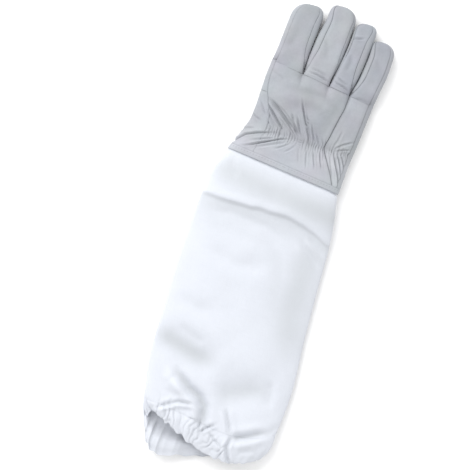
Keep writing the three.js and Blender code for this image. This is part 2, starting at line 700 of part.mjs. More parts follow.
// A point on the sleeve: along from the leather's hem to the mouth; below 0 it laps inside the hem.
function sleevePoint(along, angle, inset) {
  const row = readTable(SLEEVE_ROWS, along);
  const hem = handRow(Math.max(0, -along * SLEEVE_LENGTH / HAND_LENGTH));
  const tuck = (1 - ease(0, 0.012, along)) * (HEM_WALL + LAP_GAP);
  const open = ease(-0.01, 0.1, along);
  const left = lerp(hem.left.x, row.left * SLEEVE_WIDTH, open);
  const right = lerp(hem.right.x, row.right * SLEEVE_WIDTH, open);
  const height = lerp(hem.height, row.height * SLEEVE_HEIGHT, open);
  const slant = HEM_SLANT * (1 - ease(0, 0.2, along)) + MOUTH_SLANT * ease(0.78, 1, along);
  const depth = inset + tuck;
  const across = signedPower(Math.cos(angle), 2 / lerp(HAND_SQUARE, SLEEVE_SQUARE, open));
  const up = signedPower(Math.sin(angle), 2 / lerp(HAND_SQUARE, SLEEVE_SQUARE, open));
  const x = (left + right) / 2 + across * ((right - left) / 2 - depth);
  const bulge = MOUTH_BULGE * ease(0.6, 1, along) * (1 - across * across) * (1 + across / 2);
  const lip = up < 0 ? MOUTH_LIP * ease(0.9, 1, along) * hump(across + 0.25, 0.6) * -up : 0;
  const y = -SLEEVE_LENGTH * along - slant * across / 2 - bulge - lip;
  const edge = lerp(HAND_EDGE, SLEEVE_EDGE, open) * height;
  const top = height - edge + (along > 0 ? sleeveDents(x, along) : 0);
  return new THREE.Vector3(x, y, up > 0 ? edge + up * (top - depth) : edge - pressed(-up) * (edge - depth));
}

// Where the casing begins: it is short at the thumb side, where it is drawn in most.
const CASING_NARROW = 0.65;
function casingStart(angle) {
  const towardsThumb = Math.max(0, -Math.cos(angle));
  return 1 - CASING_LENGTH * (1 - CASING_NARROW * towardsThumb ** 2) / SLEEVE_LENGTH;
}

function sleeve() {
  const sheet = new Sheet();
  const columns = RING_COLUMNS;
  const lap = SLEEVE_LAP / SLEEVE_LENGTH;
  const nearHem = [0, 0.014, 0.05, 0.1, 0.155, 0.167, 0.18];
  const rows = [...nearHem, 0.24, 0.32, 0.41, 0.5, 0.59, 0.68, 0.76, 0.83, 0.89, 0.95, 1];
  let previous = sheet.addRing(columns, (share) => wall(
    (inset) => sleevePoint(-lap, 2 * HALF_TURN * share, inset), COTTON_WALL));
  const ring = (place) => sheet.addRing(columns, (share) => {
    const angle = 2 * HALF_TURN * share;
    const end = casingStart(angle) - SEAM_GAP / SLEEVE_LENGTH;
    return wall((inset) => sleevePoint(place * end, angle, inset), COTTON_WALL);
  });
  for (const place of rows) {
    const row = ring(place);
    sheet.join(row, previous);
    previous = row;
  }
  return sheet.mesh('sleeve', COTTON);
}

// The gathered casing at the arm end: pleats sink inwards and fade towards the sleeve.
function cuffCasing() {
  const sheet = new Sheet();
  const columns = 4 * PLEATS;
  const rows = 2;
  let previous = null;
  for (let step = 0; step <= rows; step += 1) {
    const share = step / rows;
    const row = sheet.addRing(columns, (turn) => {
      const angle = 2 * HALF_TURN * turn;
      const along = lerp(casingStart(angle), 1, share);
      const pleat = PLEAT_DEPTH * (0.3 + 0.7 * share) * (1 + Math.cos(PLEATS * angle)) / 2;
      return wall((inset) => sleevePoint(along, angle, inset + pleat), COTTON_WALL);
    });
    if (previous) sheet.join(row, previous);
    previous = row;
  }
  return sheet.mesh('cuff_casing', COTTON);
}

const pieces = new THREE.Group();
pieces.add(backPanel(), sidePanel(), palmPanel(), thumbFront(), thumbBack());
pieces.add(leatherHem(), sleeve(), cuffCasing());
FINGERS.forEach((_, index) => pieces.add(fingerBack(index)));
FINGERS.slice(1).forEach((_, index) => pieces.add(fourchette(index)));

// The origin is on the floor below the middle of the whole glove.
const box = new THREE.Box3().setFromObject(pieces);
const middle = box.getCenter(new THREE.Vector3());
pieces.position.set(-middle.x, -middle.y, -box.min.z);

const glove = new THREE.Group();
glove.add(pieces);

export default glove;
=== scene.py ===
"""A beekeeping glove for the right hand, lying palm down: its leather, cotton, seams, folds and gathers.

Lengths are millimetres in the glove's own frame: X runs towards the little finger, Y towards the fingertips
from the middle of the leather's hem, and Z up from the floor. Meshes are made in metres in the CAD's frame.
"""

import logging
import math
from collections.abc import Callable
from dataclasses import dataclass, field
from enum import Enum

import bmesh
import bpy
import numpy as np
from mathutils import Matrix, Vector


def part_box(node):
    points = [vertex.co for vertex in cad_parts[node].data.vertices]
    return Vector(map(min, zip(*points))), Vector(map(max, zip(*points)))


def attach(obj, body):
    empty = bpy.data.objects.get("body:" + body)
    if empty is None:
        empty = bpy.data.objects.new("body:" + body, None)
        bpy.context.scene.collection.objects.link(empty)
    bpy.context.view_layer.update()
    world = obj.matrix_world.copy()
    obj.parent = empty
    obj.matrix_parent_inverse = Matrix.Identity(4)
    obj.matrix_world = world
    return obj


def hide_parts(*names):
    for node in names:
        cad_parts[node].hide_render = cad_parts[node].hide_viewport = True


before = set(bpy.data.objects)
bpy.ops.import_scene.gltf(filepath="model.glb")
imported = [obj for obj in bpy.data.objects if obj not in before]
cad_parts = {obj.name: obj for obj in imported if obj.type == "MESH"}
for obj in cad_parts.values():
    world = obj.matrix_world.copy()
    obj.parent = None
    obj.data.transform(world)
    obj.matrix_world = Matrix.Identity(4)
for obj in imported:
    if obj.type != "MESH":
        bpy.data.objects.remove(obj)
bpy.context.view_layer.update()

LOG = logging.getLogger("glove")
METRES = 0.001
HALF_TURN = math.pi
QUARTER_TURN = math.pi / 2
FULL_TURN = 2 * math.pi

Array = np.ndarray
Socket = bpy.types.NodeSocket
Surface = Callable[[Array, Array, Array], Array]
Relief = Callable[[Array, Array], Array]


def lerp(start: Array, end: Array, share: Array) -> Array:
    """Value at a share of the way from start to end."""
    return start + (end - start) * share


def smooth(share: Array) -> Array:
    """Eases a share: it leaves 0 and reaches 1 with no slope."""
    return share * share * (3 - 2 * share)


def ease(low: float, high: float, value: Array) -> Array:
    """Eased step: 0 below low, 1 above high, smooth between."""
    return smooth(np.clip((value - low) / (high - low), 0, 1))


def hump(distance: Array, reach: float) -> Array:
    """Bell curve of height 1 that falls off over the reach."""
    return np.exp(-((distance / reach) ** 2))


def signed_power(value: Array, power: Array) -> Array:
    """Power of the size of a value, with the value's own sign."""
    return np.sign(value) * np.abs(value) ** power


def pressed(down: Array) -> Array:
    """Share of the way down to the floor, where the underside lies flat over a wider stretch."""
    return np.minimum(1, FLOOR_PRESS * down)


def lattice(column: Array, row: Array, seed: float) -> Array:
    """Fixed scatter from 0 to 1 for each lattice point: the fraction of a large multiple of a sine."""
    value = np.sin(column * 127.1 + row * 311.7 + seed * 74.7) * 43758.5453
    return value - np.floor(value)


def noise(x: Array, y: Array, seed: float) -> Array:
    """Smooth uneven surface between -1 and 1: lattice values blended with eased steps from point to point.

    Args:
        x: First coordinate, in lattice steps.
        y: Second coordinate, in lattice steps.
        seed: Number that tells one unevenness from another.

    Returns:
        The height at each place.
    """
    column, row = np.floor(x), np.floor(y)
    across, along = smooth(x - column), smooth(y - row)
    near = lerp(lattice(column, row, seed), lattice(column + 1, row, seed), across)
    far = lerp(lattice(column, row + 1, seed), lattice(column + 1, row + 1, seed), across)
    return 2 * lerp(near, far, along) - 1


def read_table(rows: Array, along: Array) -> Array:
    """Reads a table between its rows with cubic steps whose slopes follow the rows on both sides.

    Args:
        rows: Table whose first column is the place and whose others are values.
        along: Places to read.

    Returns:
        One value for each other column, on the last axis.
    """
    place = np.clip(np.asarray(along, float), 0, 1)
    index = np.clip(np.searchsorted(rows[:, 0], place, side="left") - 1, 0, len(rows) - 2)
    before, after = rows[np.maximum(index - 1, 0)], rows[np.minimum(index + 2, len(rows) - 1)]
    start, end = rows[index], rows[index + 1]
    step = (end[..., 0] - start[..., 0])[..., None]
    t = (place[..., None] - start[..., :1]) / step
    slope_in = (end - before) / (end[..., :1] - before[..., :1]) * step
    slope_out = (after - start) / (after[..., :1] - start[..., :1]) * step
    bend = (2 * t**3 - 3 * t**2 + 1) * start + (3 * t**2 - 2 * t**3) * end
    return (bend + (t**3 - 2 * t**2 + t) * slope_in + (t**3 - t**2) * slope_out)[..., 1:]


# Walls, and the gap between two panels
LEATHER_WALL = 1.3
COTTON_WALL = 1.1
HEM_WALL = 2.0
SEAM_GAP = 0.1
# How square a section is: 2 is an ellipse, and more is closer to a box
FINGER_SQUARE = 3.8
TIP_SQUARE = 2.6
HAND_SQUARE = 2.8
# Sizes of the hand
FINGER_HEIGHT = 17.0
PALM_HEIGHT = 20.0
HAND_LENGTH = 101.75
HEM_WIDTH = 6.0
HEM_SLANT = 16.7
KNUCKLE_SLANT = 20.0
EDGE_WRAP = 4.5
WEB_DEPTH = 1.5
# Height of the hand's widest line as a share of its height, and how far the floor presses the underside flat
HAND_EDGE = 0.42
FLOOR_PRESS = 1.12
# Angle below a finger's side of the seam between its front and a fourchette
FRONT_SEAM = 0.6
# Places along the hand, as shares of its length from the hem
HEM_SHARE = HEM_WIDTH / HAND_LENGTH
BASE_SEAM = 0.98
CROTCH_SHARE = 0.66
GAP_SHARE = 0.4 * SEAM_GAP / HAND_LENGTH
KNUCKLE_GAP = 0.1 * GAP_SHARE
PANEL_START = HEM_SHARE + GAP_SHARE


@dataclass(frozen=True)
class Finger:
    """One finger from the knuckle line to its tip.

    Root, sway, taper and peak, how far the tip stands to one side, are shares of the width, and so is what
    shows of the fourchette on each side; 0 stands for a side where the palm wraps round. Lean and the rounded
    cap are shares of the length. Swell left and right, in millimetres, close the slit to the next finger up
    to where the two part.
    """

    name: str
    width: float
    length: float
    root: float
    lean: float
    sway: float
    taper: float
    cap: float
    peak: float
    strip_left: float
    strip_right: float
    swell_left: float = 0.0
    swell_right: float = 0.0


FINGERS = (
    Finger("index", 33.5, 68.4, 1.045, 0.098, 0.0, 0.0, 0.26, 0.05, 0.0, 0.18),
    Finger("middle", 33.5, 80.8, 0.893, 0.137, 0.0, 0.11, 0.2, -0.15, 0.2, 0.1, 0.0, 0.35),
    Finger("ring", 23.6, 74.2, 1.0, 0.143, 0.07, 0.0, 0.15, 0.0, 0.08, 0.3, 0.35, 0.75),
    Finger("little", 25.6, 64.3, 1.07, 0.115, 0.1, 0.0, 0.2, -0.14, 0.2, 0.0, 0.75, 0.0),
)
# Places along the glove where neighbouring fingers begin to part and are apart
PARTING = (124.0, 144.0)

HAND_ROWS = np.array([
    # along, left edge, right edge, height
    [0.0, -0.529, 0.555, 1.05],
    [0.08, -0.495, 0.561, 1.08],
    [0.2, -0.451, 0.569, 1.05],
    [0.33, -0.404, 0.578, 0.98],
    [0.46, -0.385, 0.591, 1.02],
    [0.6, -0.377, 0.608, 1.02],
    [0.8, -0.368, 0.629, 0.98],
    [1.0, -0.3485, 0.6515, 0.9],
])

SEAM_ROWS = np.array([
    # along, gusset seam from the thumb side, side panel's seam from the far side
    [0.0, 0.215, 0.06],
    [0.11, 0.2, 0.109],
    [0.2, 0.19, 0.162],
    [0.27, 0.178, 0.204],
    [0.35, 0.168, 0.251],
    [0.41, 0.158, 0.266],
    [0.5, 0.128, 0.257],
    [0.6, 0.083, 0.252],
    [0.72, 0.047, 0.242],
    [0.83, 0.038, 0.23],
    [1.0, 0.034, 0.236],
])


@dataclass
class Row:
    """One slanted line across the hand: the plan of its two ends and its height."""

    left_x: Array
    left_y: Array
    right_x: Array
    right_y: Array
    height: Array

    @property
    def half(self) -> Array:
        """Half the row's width."""
        return (self.right_x - self.left_x) / 2


def angle_at(share: Array, square: float) -> Array:
    """Angle at which a section reaches a share of its half width: the arc cosine of a power of the share."""
    return np.arccos(signed_power(np.clip(share, -1, 1), square / 2))


def from_line(x: Array, y: Array, start: Array, end: Array) -> tuple[Array, Array]:
    """Distance from a straight line and share along it of the nearest place.

    Args:
        x: Places across.
        y: Places along.
        start: The line's first end.
        end: The line's other end.

    Returns:
        The distance and the share.
    """
    step = end - start
    share = np.clip(((x - start[0]) * step[0] + (y - start[1]) * step[1]) / (step @ step), 0, 1)
    return np.hypot(x - start[0] - share * step[0], y - start[1] - share * step[1]), share


@dataclass
class HandForm:
    """Shape of the hand, its fingers and the thumb folded under the palm.

    The heel and the thumb's base lie at shares of the hand's width and length. Strip root and tip are shares
    of a fourchette's full show. Thumb thin is the folded thumb's least thickness as a share of its height.
    """

    fingers: tuple[Finger, ...] = FINGERS
    thumb_height: float = 11.5
    thumb_width: float = 31.0
    thumb_length: float = 62.0
    thumb_lean: float = 0.866
    back_rise: float = 0.28
    fork_rise: float = 0.2
    knuckle_dip: float = 0.26
    root_blend: float = 0.16
    thumb_straight: float = 0.62
    thumb_thin: float = 0.36
    heel_place: tuple[float, float] = (-0.07, 0.03)
    base_place: tuple[float, float] = (-0.2, 0.375)
    strip_root: float = 0.34
    strip_tip: float = 0.55
    lap_gap: float = 0.4
    width: float = field(init=False)
    shares: Array = field(init=False)
    forks: Array = field(init=False)
    heel: Array = field(init=False)
    thumb_base: Array = field(init=False)
    thumb_axis: Array = field(init=False)
    thumb_tip: Array = field(init=False)

    def __post_init__(self) -> None:
        """Works out the hand's width, the forks between the fingers and the thumb's place under the palm."""
        roots = np.array([finger.width * finger.root for finger in self.fingers])
        self.width = float(roots.sum())
        self.shares = np.concatenate([[0], np.cumsum(roots) / self.width])
        knuckles = self.row(np.array(1.0))
        left = np.array([knuckles.left_x, knuckles.left_y])
        right = np.array([knuckles.right_x, knuckles.right_y])
        self.forks = left + (right - left) * self.shares[:, None]
        scale = np.array([self.width, HAND_LENGTH])
        self.heel = self.heel_place * scale + np.array([0, HEM_WIDTH])
        self.thumb_base = self.base_place * scale
        self.thumb_axis = np.array([math.cos(self.thumb_lean), math.sin(self.thumb_lean)])
        self.thumb_tip = self.thumb_base + self.thumb_axis * self.thumb_length

    def row(self, along: Array) -> Row:
        """The hand's row at a share of its length, from the hem (0) to the knuckles (1)."""
        left, right, height = np.moveaxis(read_table(HAND_ROWS, along), -1, 0)
        middle, rise = HAND_LENGTH * along, lerp(HEM_SLANT, KNUCKLE_SLANT, along) / 2
        return Row(left * self.width, middle + rise, right * self.width, middle - rise, height * PALM_HEIGHT)

    def seam(self, along: Array, which: "BackSeam") -> Array:
        """Distance of a seam on the back from its own edge of the hand."""
        return read_table(SEAM_ROWS, along)[..., which.value] * self.width

    def angle(self, along: Array, from_left: Array) -> Array:
        """Angle on the back at a distance from the left edge."""
        return angle_at(from_left / self.row(along).half - 1, HAND_SQUARE)

    def span(self, along: Array) -> Array:
        """Width of the hand at a share of its length."""
        return 2 * self.row(along).half

    def lobe(self, x: Array) -> Array:
        """Depth of the knuckle line: 0 amid a finger and 1 at a fork, by the fourth power between."""
        share = (x - self.row(np.array(1.0)).left_x) / self.width
        index = np.clip(np.searchsorted(self.shares, share, side="left") - 1, 0, len(self.fingers) - 1)
        middle = (self.shares[index] + self.shares[index + 1]) / 2
        half = (self.shares[index + 1] - self.shares[index]) / 2
        return np.clip(np.abs(share - middle) / half, 0, 1) ** 4

    def thumb_fullness(self, y: Array) -> Array:
        """Thickness of the folded thumb: thin by the hem and full from a third of the hand's length."""
        return lerp(self.thumb_thin, 1, ease(HEM_SHARE * HAND_LENGTH, 0.42 * HAND_LENGTH, y))

    def thumb_lift(self, x: Array, y: Array) -> Array:
        """How strongly the thumb lifts what lies over it: 1 over its axis, eased to 0 outside it."""
        distance, share = from_line(x, y, self.thumb_base, self.thumb_tip)
        reach = self.thumb_width * lerp(1.12, 0.6, share)
        return (1 - ease(0.7, 1.6, distance / reach)) * self.thumb_fullness(y)

    def point(self, along: Array, angle: Array, inset: Array, lift: Array = 0.0) -> Array:
        """A point on the hand: rounded sections whose half sizes shrink by the inset.

        Args:
            along: Share of the hand's length, from the hem to the knuckles.
            angle: Angle round the section from the far side, over the back first.
            inset: Depth below the surface.
            lift: How much the thumb raises the underside, 0 or 1.

        Returns:
            The points, with X, Y and Z on the last axis.
        """
        row = self.row(along)
        across = signed_power(np.cos(angle), 2 / HAND_SQUARE)
        up = np.abs(np.sin(angle)) ** (2 / HAND_SQUARE)
        x = (row.left_x + row.right_x) / 2 + across * (row.half - inset)
        y = lerp(row.left_y, row.right_y, (x - row.left_x) / (2 * row.half))
        edge = HAND_EDGE * row.height
        lobes, lobe, thumb = ease(0.8, 1, along), self.lobe(x), self.thumb_lift(x, y)
        over_thumb = lift * (self.thumb_height + 2 * self.lap_gap) * thumb * (1 - ease(0.85, 1, along))
        raised = over_thumb + lobes * self.fork_rise * FINGER_HEIGHT * lobe
        under = edge - pressed(up) * (edge - raised - np.maximum(inset, 0))
        clear = ease(HEM_SHARE, HEM_SHARE + 0.1, along)
        roots = FINGER_HEIGHT * (1 - self.knuckle_dip * lobe)
        bulge = self.back_rise * self.thumb_height * thumb * clear * (1 - lobes)
        top = lerp(row.height, roots, lobes) + bulge
        z = np.where(np.sin(angle) < 0, under, edge + up * (top - edge - inset))
        return np.stack(np.broadcast_arrays(x, y, z), -1)

    def strip_angle(self, index: int, along: Array, is_right: bool) -> Array:
        """Angle above a finger's side of its seam with the fourchette: widest halfway along it."""
        finger = self.fingers[index]
        strip = finger.strip_right if is_right else finger.strip_left
        shown = strip * lerp(self.strip_root, 1, ease(0, 0.4, along))
        return angle_at(1 - 2 * shown * lerp(1, self.strip_tip, ease(0.7, 1, along)), FINGER_SQUARE)

    def finger_point(self, index: int, along: Array, angle: Array, inset: Array) -> Array:
        """A point on a finger: rounded sections along a leaning, swaying middle line, closed by a round cap.

        Args:
            index: Which finger, from the index.
            along: Share of its length from the knuckle line.
            angle: Angle round the section from the far side.
            inset: Depth below the surface.

        Returns:
            The points, with X, Y and Z on the last axis.
        """
        finger = self.fingers[index]
        root = (self.forks[index] + self.forks[index + 1]) / 2
        cap_share = np.clip((along - 1 + finger.cap) / finger.cap, 0, 1)
        cap = (1 - cap_share**TIP_SQUARE) ** (1 / TIP_SQUARE)
        spread = lerp(finger.root, 1, ease(0, 0.3, along)) * (1 - finger.taper * ease(0.5, 0.85, along))
        half = (finger.width * spread / 2 - inset) * cap
        reach = (finger.length - inset) * along
        sideways = finger.sway * np.sin(HALF_TURN * along) + finger.peak * cap_share**2
        middle = root[0] + finger.lean * reach + finger.width * sideways
        swell = np.where(np.cos(angle) > 0, finger.swell_right, finger.swell_left)
        half = half + swell * ease(0, 7, reach) * (1 - ease(*PARTING, root[1] + reach))
        x = middle + half * signed_power(np.cos(angle), 2 / FINGER_SQUARE)
        up, tall = signed_power(np.sin(angle), 2 / FINGER_SQUARE), FINGER_HEIGHT / 2
        rise = np.where(up < 0, -pressed(-up) * (tall - np.maximum(inset, 0)), up * (tall - inset))
        return np.stack(np.broadcast_arrays(x, root[1] + reach, FINGER_HEIGHT / 2 + rise * cap), -1)

    def fold_angle(self, along: Array) -> Array:
        """Angle of the line that the thumb is folded over, straight from the crotch to the hand's heel."""
        row = self.row(along)
        share = np.clip((CROTCH_SHARE - along) / (CROTCH_SHARE - HEM_SHARE), 0, 1)
        crotch = self.point(np.array(CROTCH_SHARE), self.crotch_angle, 0.0)[..., 0]
        x = lerp(crotch, self.heel[0], share)
        return FULL_TURN - angle_at((x - row.left_x) / row.half - 1, HAND_SQUARE)

    @property
    def crotch_angle(self) -> Array:
        """Angle of the thumb's crotch on the underside."""
        left, right = self.palm_left(np.array(CROTCH_SHARE)), self.palm_right(np.array(CROTCH_SHARE))
        return lerp(left, right, self.palm_stops[1] * 4 / 6)

    def palm_left(self, along: Array) -> Array:
        """Angle of the palm's edge that wraps round the thumb side on to the back."""
        return self.angle(along, self.seam(along, BackSeam.GUSSET) - SEAM_GAP / 2)

    def palm_right(self, along: Array) -> Array:
        """Angle of the palm's edge that wraps round the far side on to the back."""
        return FULL_TURN + self.angle(along, self.span(along) - EDGE_WRAP + SEAM_GAP / 2)

    @property
    def palm_stops(self) -> Array:
        """Shares of the palm's turn at the knuckles where one finger's front ends and the next begins."""
        one = np.array(1.0)
        inner = [float(FULL_TURN - self.angle(one, share * self.width)) for share in self.shares[1:-1]]
        ends = np.array([float(self.palm_left(one)), *inner, float(self.palm_right(one))])
        return (ends - ends[0]) / (ends[-1] - ends[0])

    def thumb_point(self, along: Array, share: Array, inset: Array, is_back: bool) -> Array:
        """A point of the folded thumb: rows between its two edges, pushed out to a round tip.

        Args:
            along: Share from the fold line to the tip.
            share: Share across from the left to the right edge.
            inset: Depth below the surface.
            is_back: Whether the side against the palm is meant, or the side on the floor.

        Returns:
            The points, with X, Y and Z on the last axis.
        """
        crotch = self.point(CROTCH_SHARE - 2 * LEATHER_WALL / HAND_LENGTH, self.crotch_angle, 0.0)[..., :2]
        side = np.array([-self.thumb_axis[1], self.thumb_axis[0]])
        run = np.clip(along / self.thumb_straight, 0, 1)[..., None]
        straight = self.thumb_base + self.thumb_axis * self.thumb_length * lerp(0.2, 0.74, run)
        settle = ease(0, 0.75, run)
        left = lerp(crotch, straight + side * self.thumb_width / 2, settle)
        right = lerp(self.heel, straight - side * self.thumb_width / 2, settle)
        cap_share = np.clip((along - self.thumb_straight) / (1 - self.thumb_straight), 0, 1)
        turn = HALF_TURN * (1 - share)
        across = signed_power(np.cos(turn), 2 / FINGER_SQUARE)
        up = np.abs(np.sin(turn)) ** (2 / FINGER_SQUARE)
        cap = np.cos(QUARTER_TURN * cap_share)
        push = np.sin(QUARTER_TURN * cap_share) * (self.thumb_width / 2 - inset)
        half = (right - left) / 2
        width = np.linalg.norm(half, axis=-1)
        plan = (left + right) / 2 + half * (across * cap * (width - inset) / width)[..., None]
        plan = plan + self.thumb_axis * push[..., None]
        edge = self.thumb_height / 2 * self.thumb_fullness(plan[..., 1])
        upper = edge + (edge - inset) * cap * up
        lower = edge - (edge - np.maximum(inset, 0)) * cap * pressed(up)
        return np.concatenate([plan, (upper if is_back else lower)[..., None]], -1)


class BackSeam(Enum):
    """Seams that run along the back of the hand, by their column in the seam table."""

    GUSSET = 0
    SIDE = 1


SLEEVE_ROWS = np.array([
    # along, left edge, right edge, height
    [0.0, -0.42, 0.417, 1.1],
    [0.06, -0.451, 0.428, 1.25],
    [0.15, -0.478, 0.4425, 1.2],
    [0.24, -0.497, 0.453, 0.95],
    [0.38, -0.516, 0.453, 0.88],
    [0.58, -0.5225, 0.4587, 0.82],
    [0.75, -0.528, 0.4716, 0.82],
    [0.85, -0.5135, 0.461, 0.92],
    [0.92, -0.4955, 0.4387, 1.1],
    [0.96, -0.476, 0.4226, 1.15],
    [1.0, -0.421, 0.387, 1.1],
])


@dataclass
class SleeveForm:
    """Shape of the sleeve: a wide flat tube, narrow at the wrist and gathered at its bulging, open mouth.

    At the mouth the lower layer's edge is a lip. It is drawn out along the glove and to the thumb side, and
    rises to a crest.
    """

    hand: HandForm
    length: float = 287.5
    width: float = 155.0
    height: float = 18.0
    square: float = 2.3
    edge: float = 0.45
    lap: float = 5.0
    lap_gap: float = 0.4
    mouth_slant: float = 20.5
    mouth_bulge: float = 18.0
    mouth_lip: float = 31.0
    lip_side: float = 18.0
    lip_crest: float = 13.5
    lip_place: float = 0.6
    casing_length: float = 25.0
    casing_narrow: float = 0.65

    def point(self, along: Array, angle: Array, inset: Array, relief: Relief | None = None) -> Array:
        """A point on the sleeve: rounded sections between two edges, whose lines slant and bulge at the end.

        Args:
            along: Share of the length from the leather's hem; below 0 it laps inside the hem.
            angle: Angle round the section from the far side.
            inset: Depth below the surface.
            relief: Height of the folds on top at a plan place, if there are any.

        Returns:
            The points, with X, Y and Z on the last axis.
        """
        left, right, tall = np.moveaxis(read_table(SLEEVE_ROWS, along), -1, 0)
        hem = self.hand.row(np.maximum(0, -along * self.length / HAND_LENGTH))
        tuck = (1 - ease(0, 0.012, along)) * (HEM_WALL + self.lap_gap)
        opened = ease(-0.01, 0.1, along)
        left = lerp(hem.left_x, left * self.width, opened)
        right = lerp(hem.right_x, right * self.width, opened)
        height = lerp(hem.height, tall * self.height, opened)
        near, far = lerp(HEM_SLANT, 0, ease(0, 0.2, along)), lerp(0, self.mouth_slant, ease(0.78, 1, along))
        slant = np.where(along < 0.5, near, far)
        power = 2 / lerp(HAND_SQUARE, self.square, opened)
        across, up = signed_power(np.cos(angle), power), signed_power(np.sin(angle), power)
        depth = inset + tuck
        x = (left + right) / 2 + across * ((right - left) / 2 - depth)
        bulge = self.mouth_bulge * ease(0.6, 1, along) * (1 - across * across) * (1 + across / 2)
        out, lower = ease(0.9, 1, along), hump(across + self.lip_place, 0.5) * np.maximum(0, -up) ** 0.6
        x = x - self.lip_side * lower * out
        y = -self.length * along - slant * across / 2 - bulge - self.mouth_lip * lower * out
        crest = self.lip_crest * lower * ease(0.5, 0.8, out) * (1 - 0.12 * ease(0.9, 1, out))
        edge = lerp(HAND_EDGE, self.edge, opened) * height
        top = height - edge + (relief(x, y) * ease(-0.004, 0.01, along) if relief else 0)
        under = edge - pressed(-up) * (edge - np.maximum(depth, 0)) + crest
        return np.stack(np.broadcast_arrays(x, y, np.where(up > 0, edge + up * (top - depth), under)), -1)

    def casing_start(self, angle: Array) -> Array:
        """Share of the length where the casing begins: it is shortest at the thumb side."""
        towards_thumb = np.maximum(0, -np.cos(angle))
        return 1 - self.casing_length * (1 - self.casing_narrow * towards_thumb**2) / self.length


@dataclass(frozen=True)
class Crease:
    """A fold or crease that follows a path: a valley with a raised bank on each side.

    Places and lengths are millimetres in the CAD's frame. The shade is how strongly painted shade darkens the
    valley's bottom. The bank is a share of the depth, and lean moves it from the left side of the path (-1)
    to the right side (1).
    """

    path: tuple[tuple[float, float], ...]
    depth: float
    width: float
    shade: float
    bank: float = 0.5
    lean: float = 0.0

    def measure(self, x: Array, y: Array) -> tuple[Array, Array, Array]:
        """Nearest distance from the path, the share along it, and the side: 1 is right and -1 is left."""
        points = np.array(self.path, float)
        lengths = np.linalg.norm(np.diff(points, axis=0), axis=1)
        starts = np.concatenate([[0], np.cumsum(lengths)])
        nearest = np.full(np.shape(x), np.inf)
        share, side = np.zeros(np.shape(x)), np.ones(np.shape(x))
        for index, length in enumerate(lengths):
            distance, part = from_line(x, y, points[index], points[index + 1])
            step = points[index + 1] - points[index]
            turn = np.sign(step[1] * (x - points[index][0]) - step[0] * (y - points[index][1]))
            closer = distance < nearest
            nearest = np.where(closer, distance, nearest)
            share = np.where(closer, (starts[index] + part * length) / starts[-1], share)
            side = np.where(closer, turn, side)
        return nearest, share, side

    def relief(self, x: Array, y: Array) -> tuple[Array, Array]:
        """Height and painted shade of the crease: a bell-shaped valley and banks, faded towards both ends."""
        distance, share, side = self.measure(x, y)
        fade = ease(0, 0.3, share) * (1 - ease(0.7, 1, share)) * 0.9 + 0.1 * hump(share - 0.5, 0.5)
        fade = fade * (distance < 6 * self.width)
        bank = self.bank * (1 + self.lean * side) * hump(distance - 2.1 * self.width, 1.2 * self.width)
        height = self.depth * fade * (bank - hump(distance, self.width))
        return height, self.shade * fade * hump(distance, 0.7 * self.width)


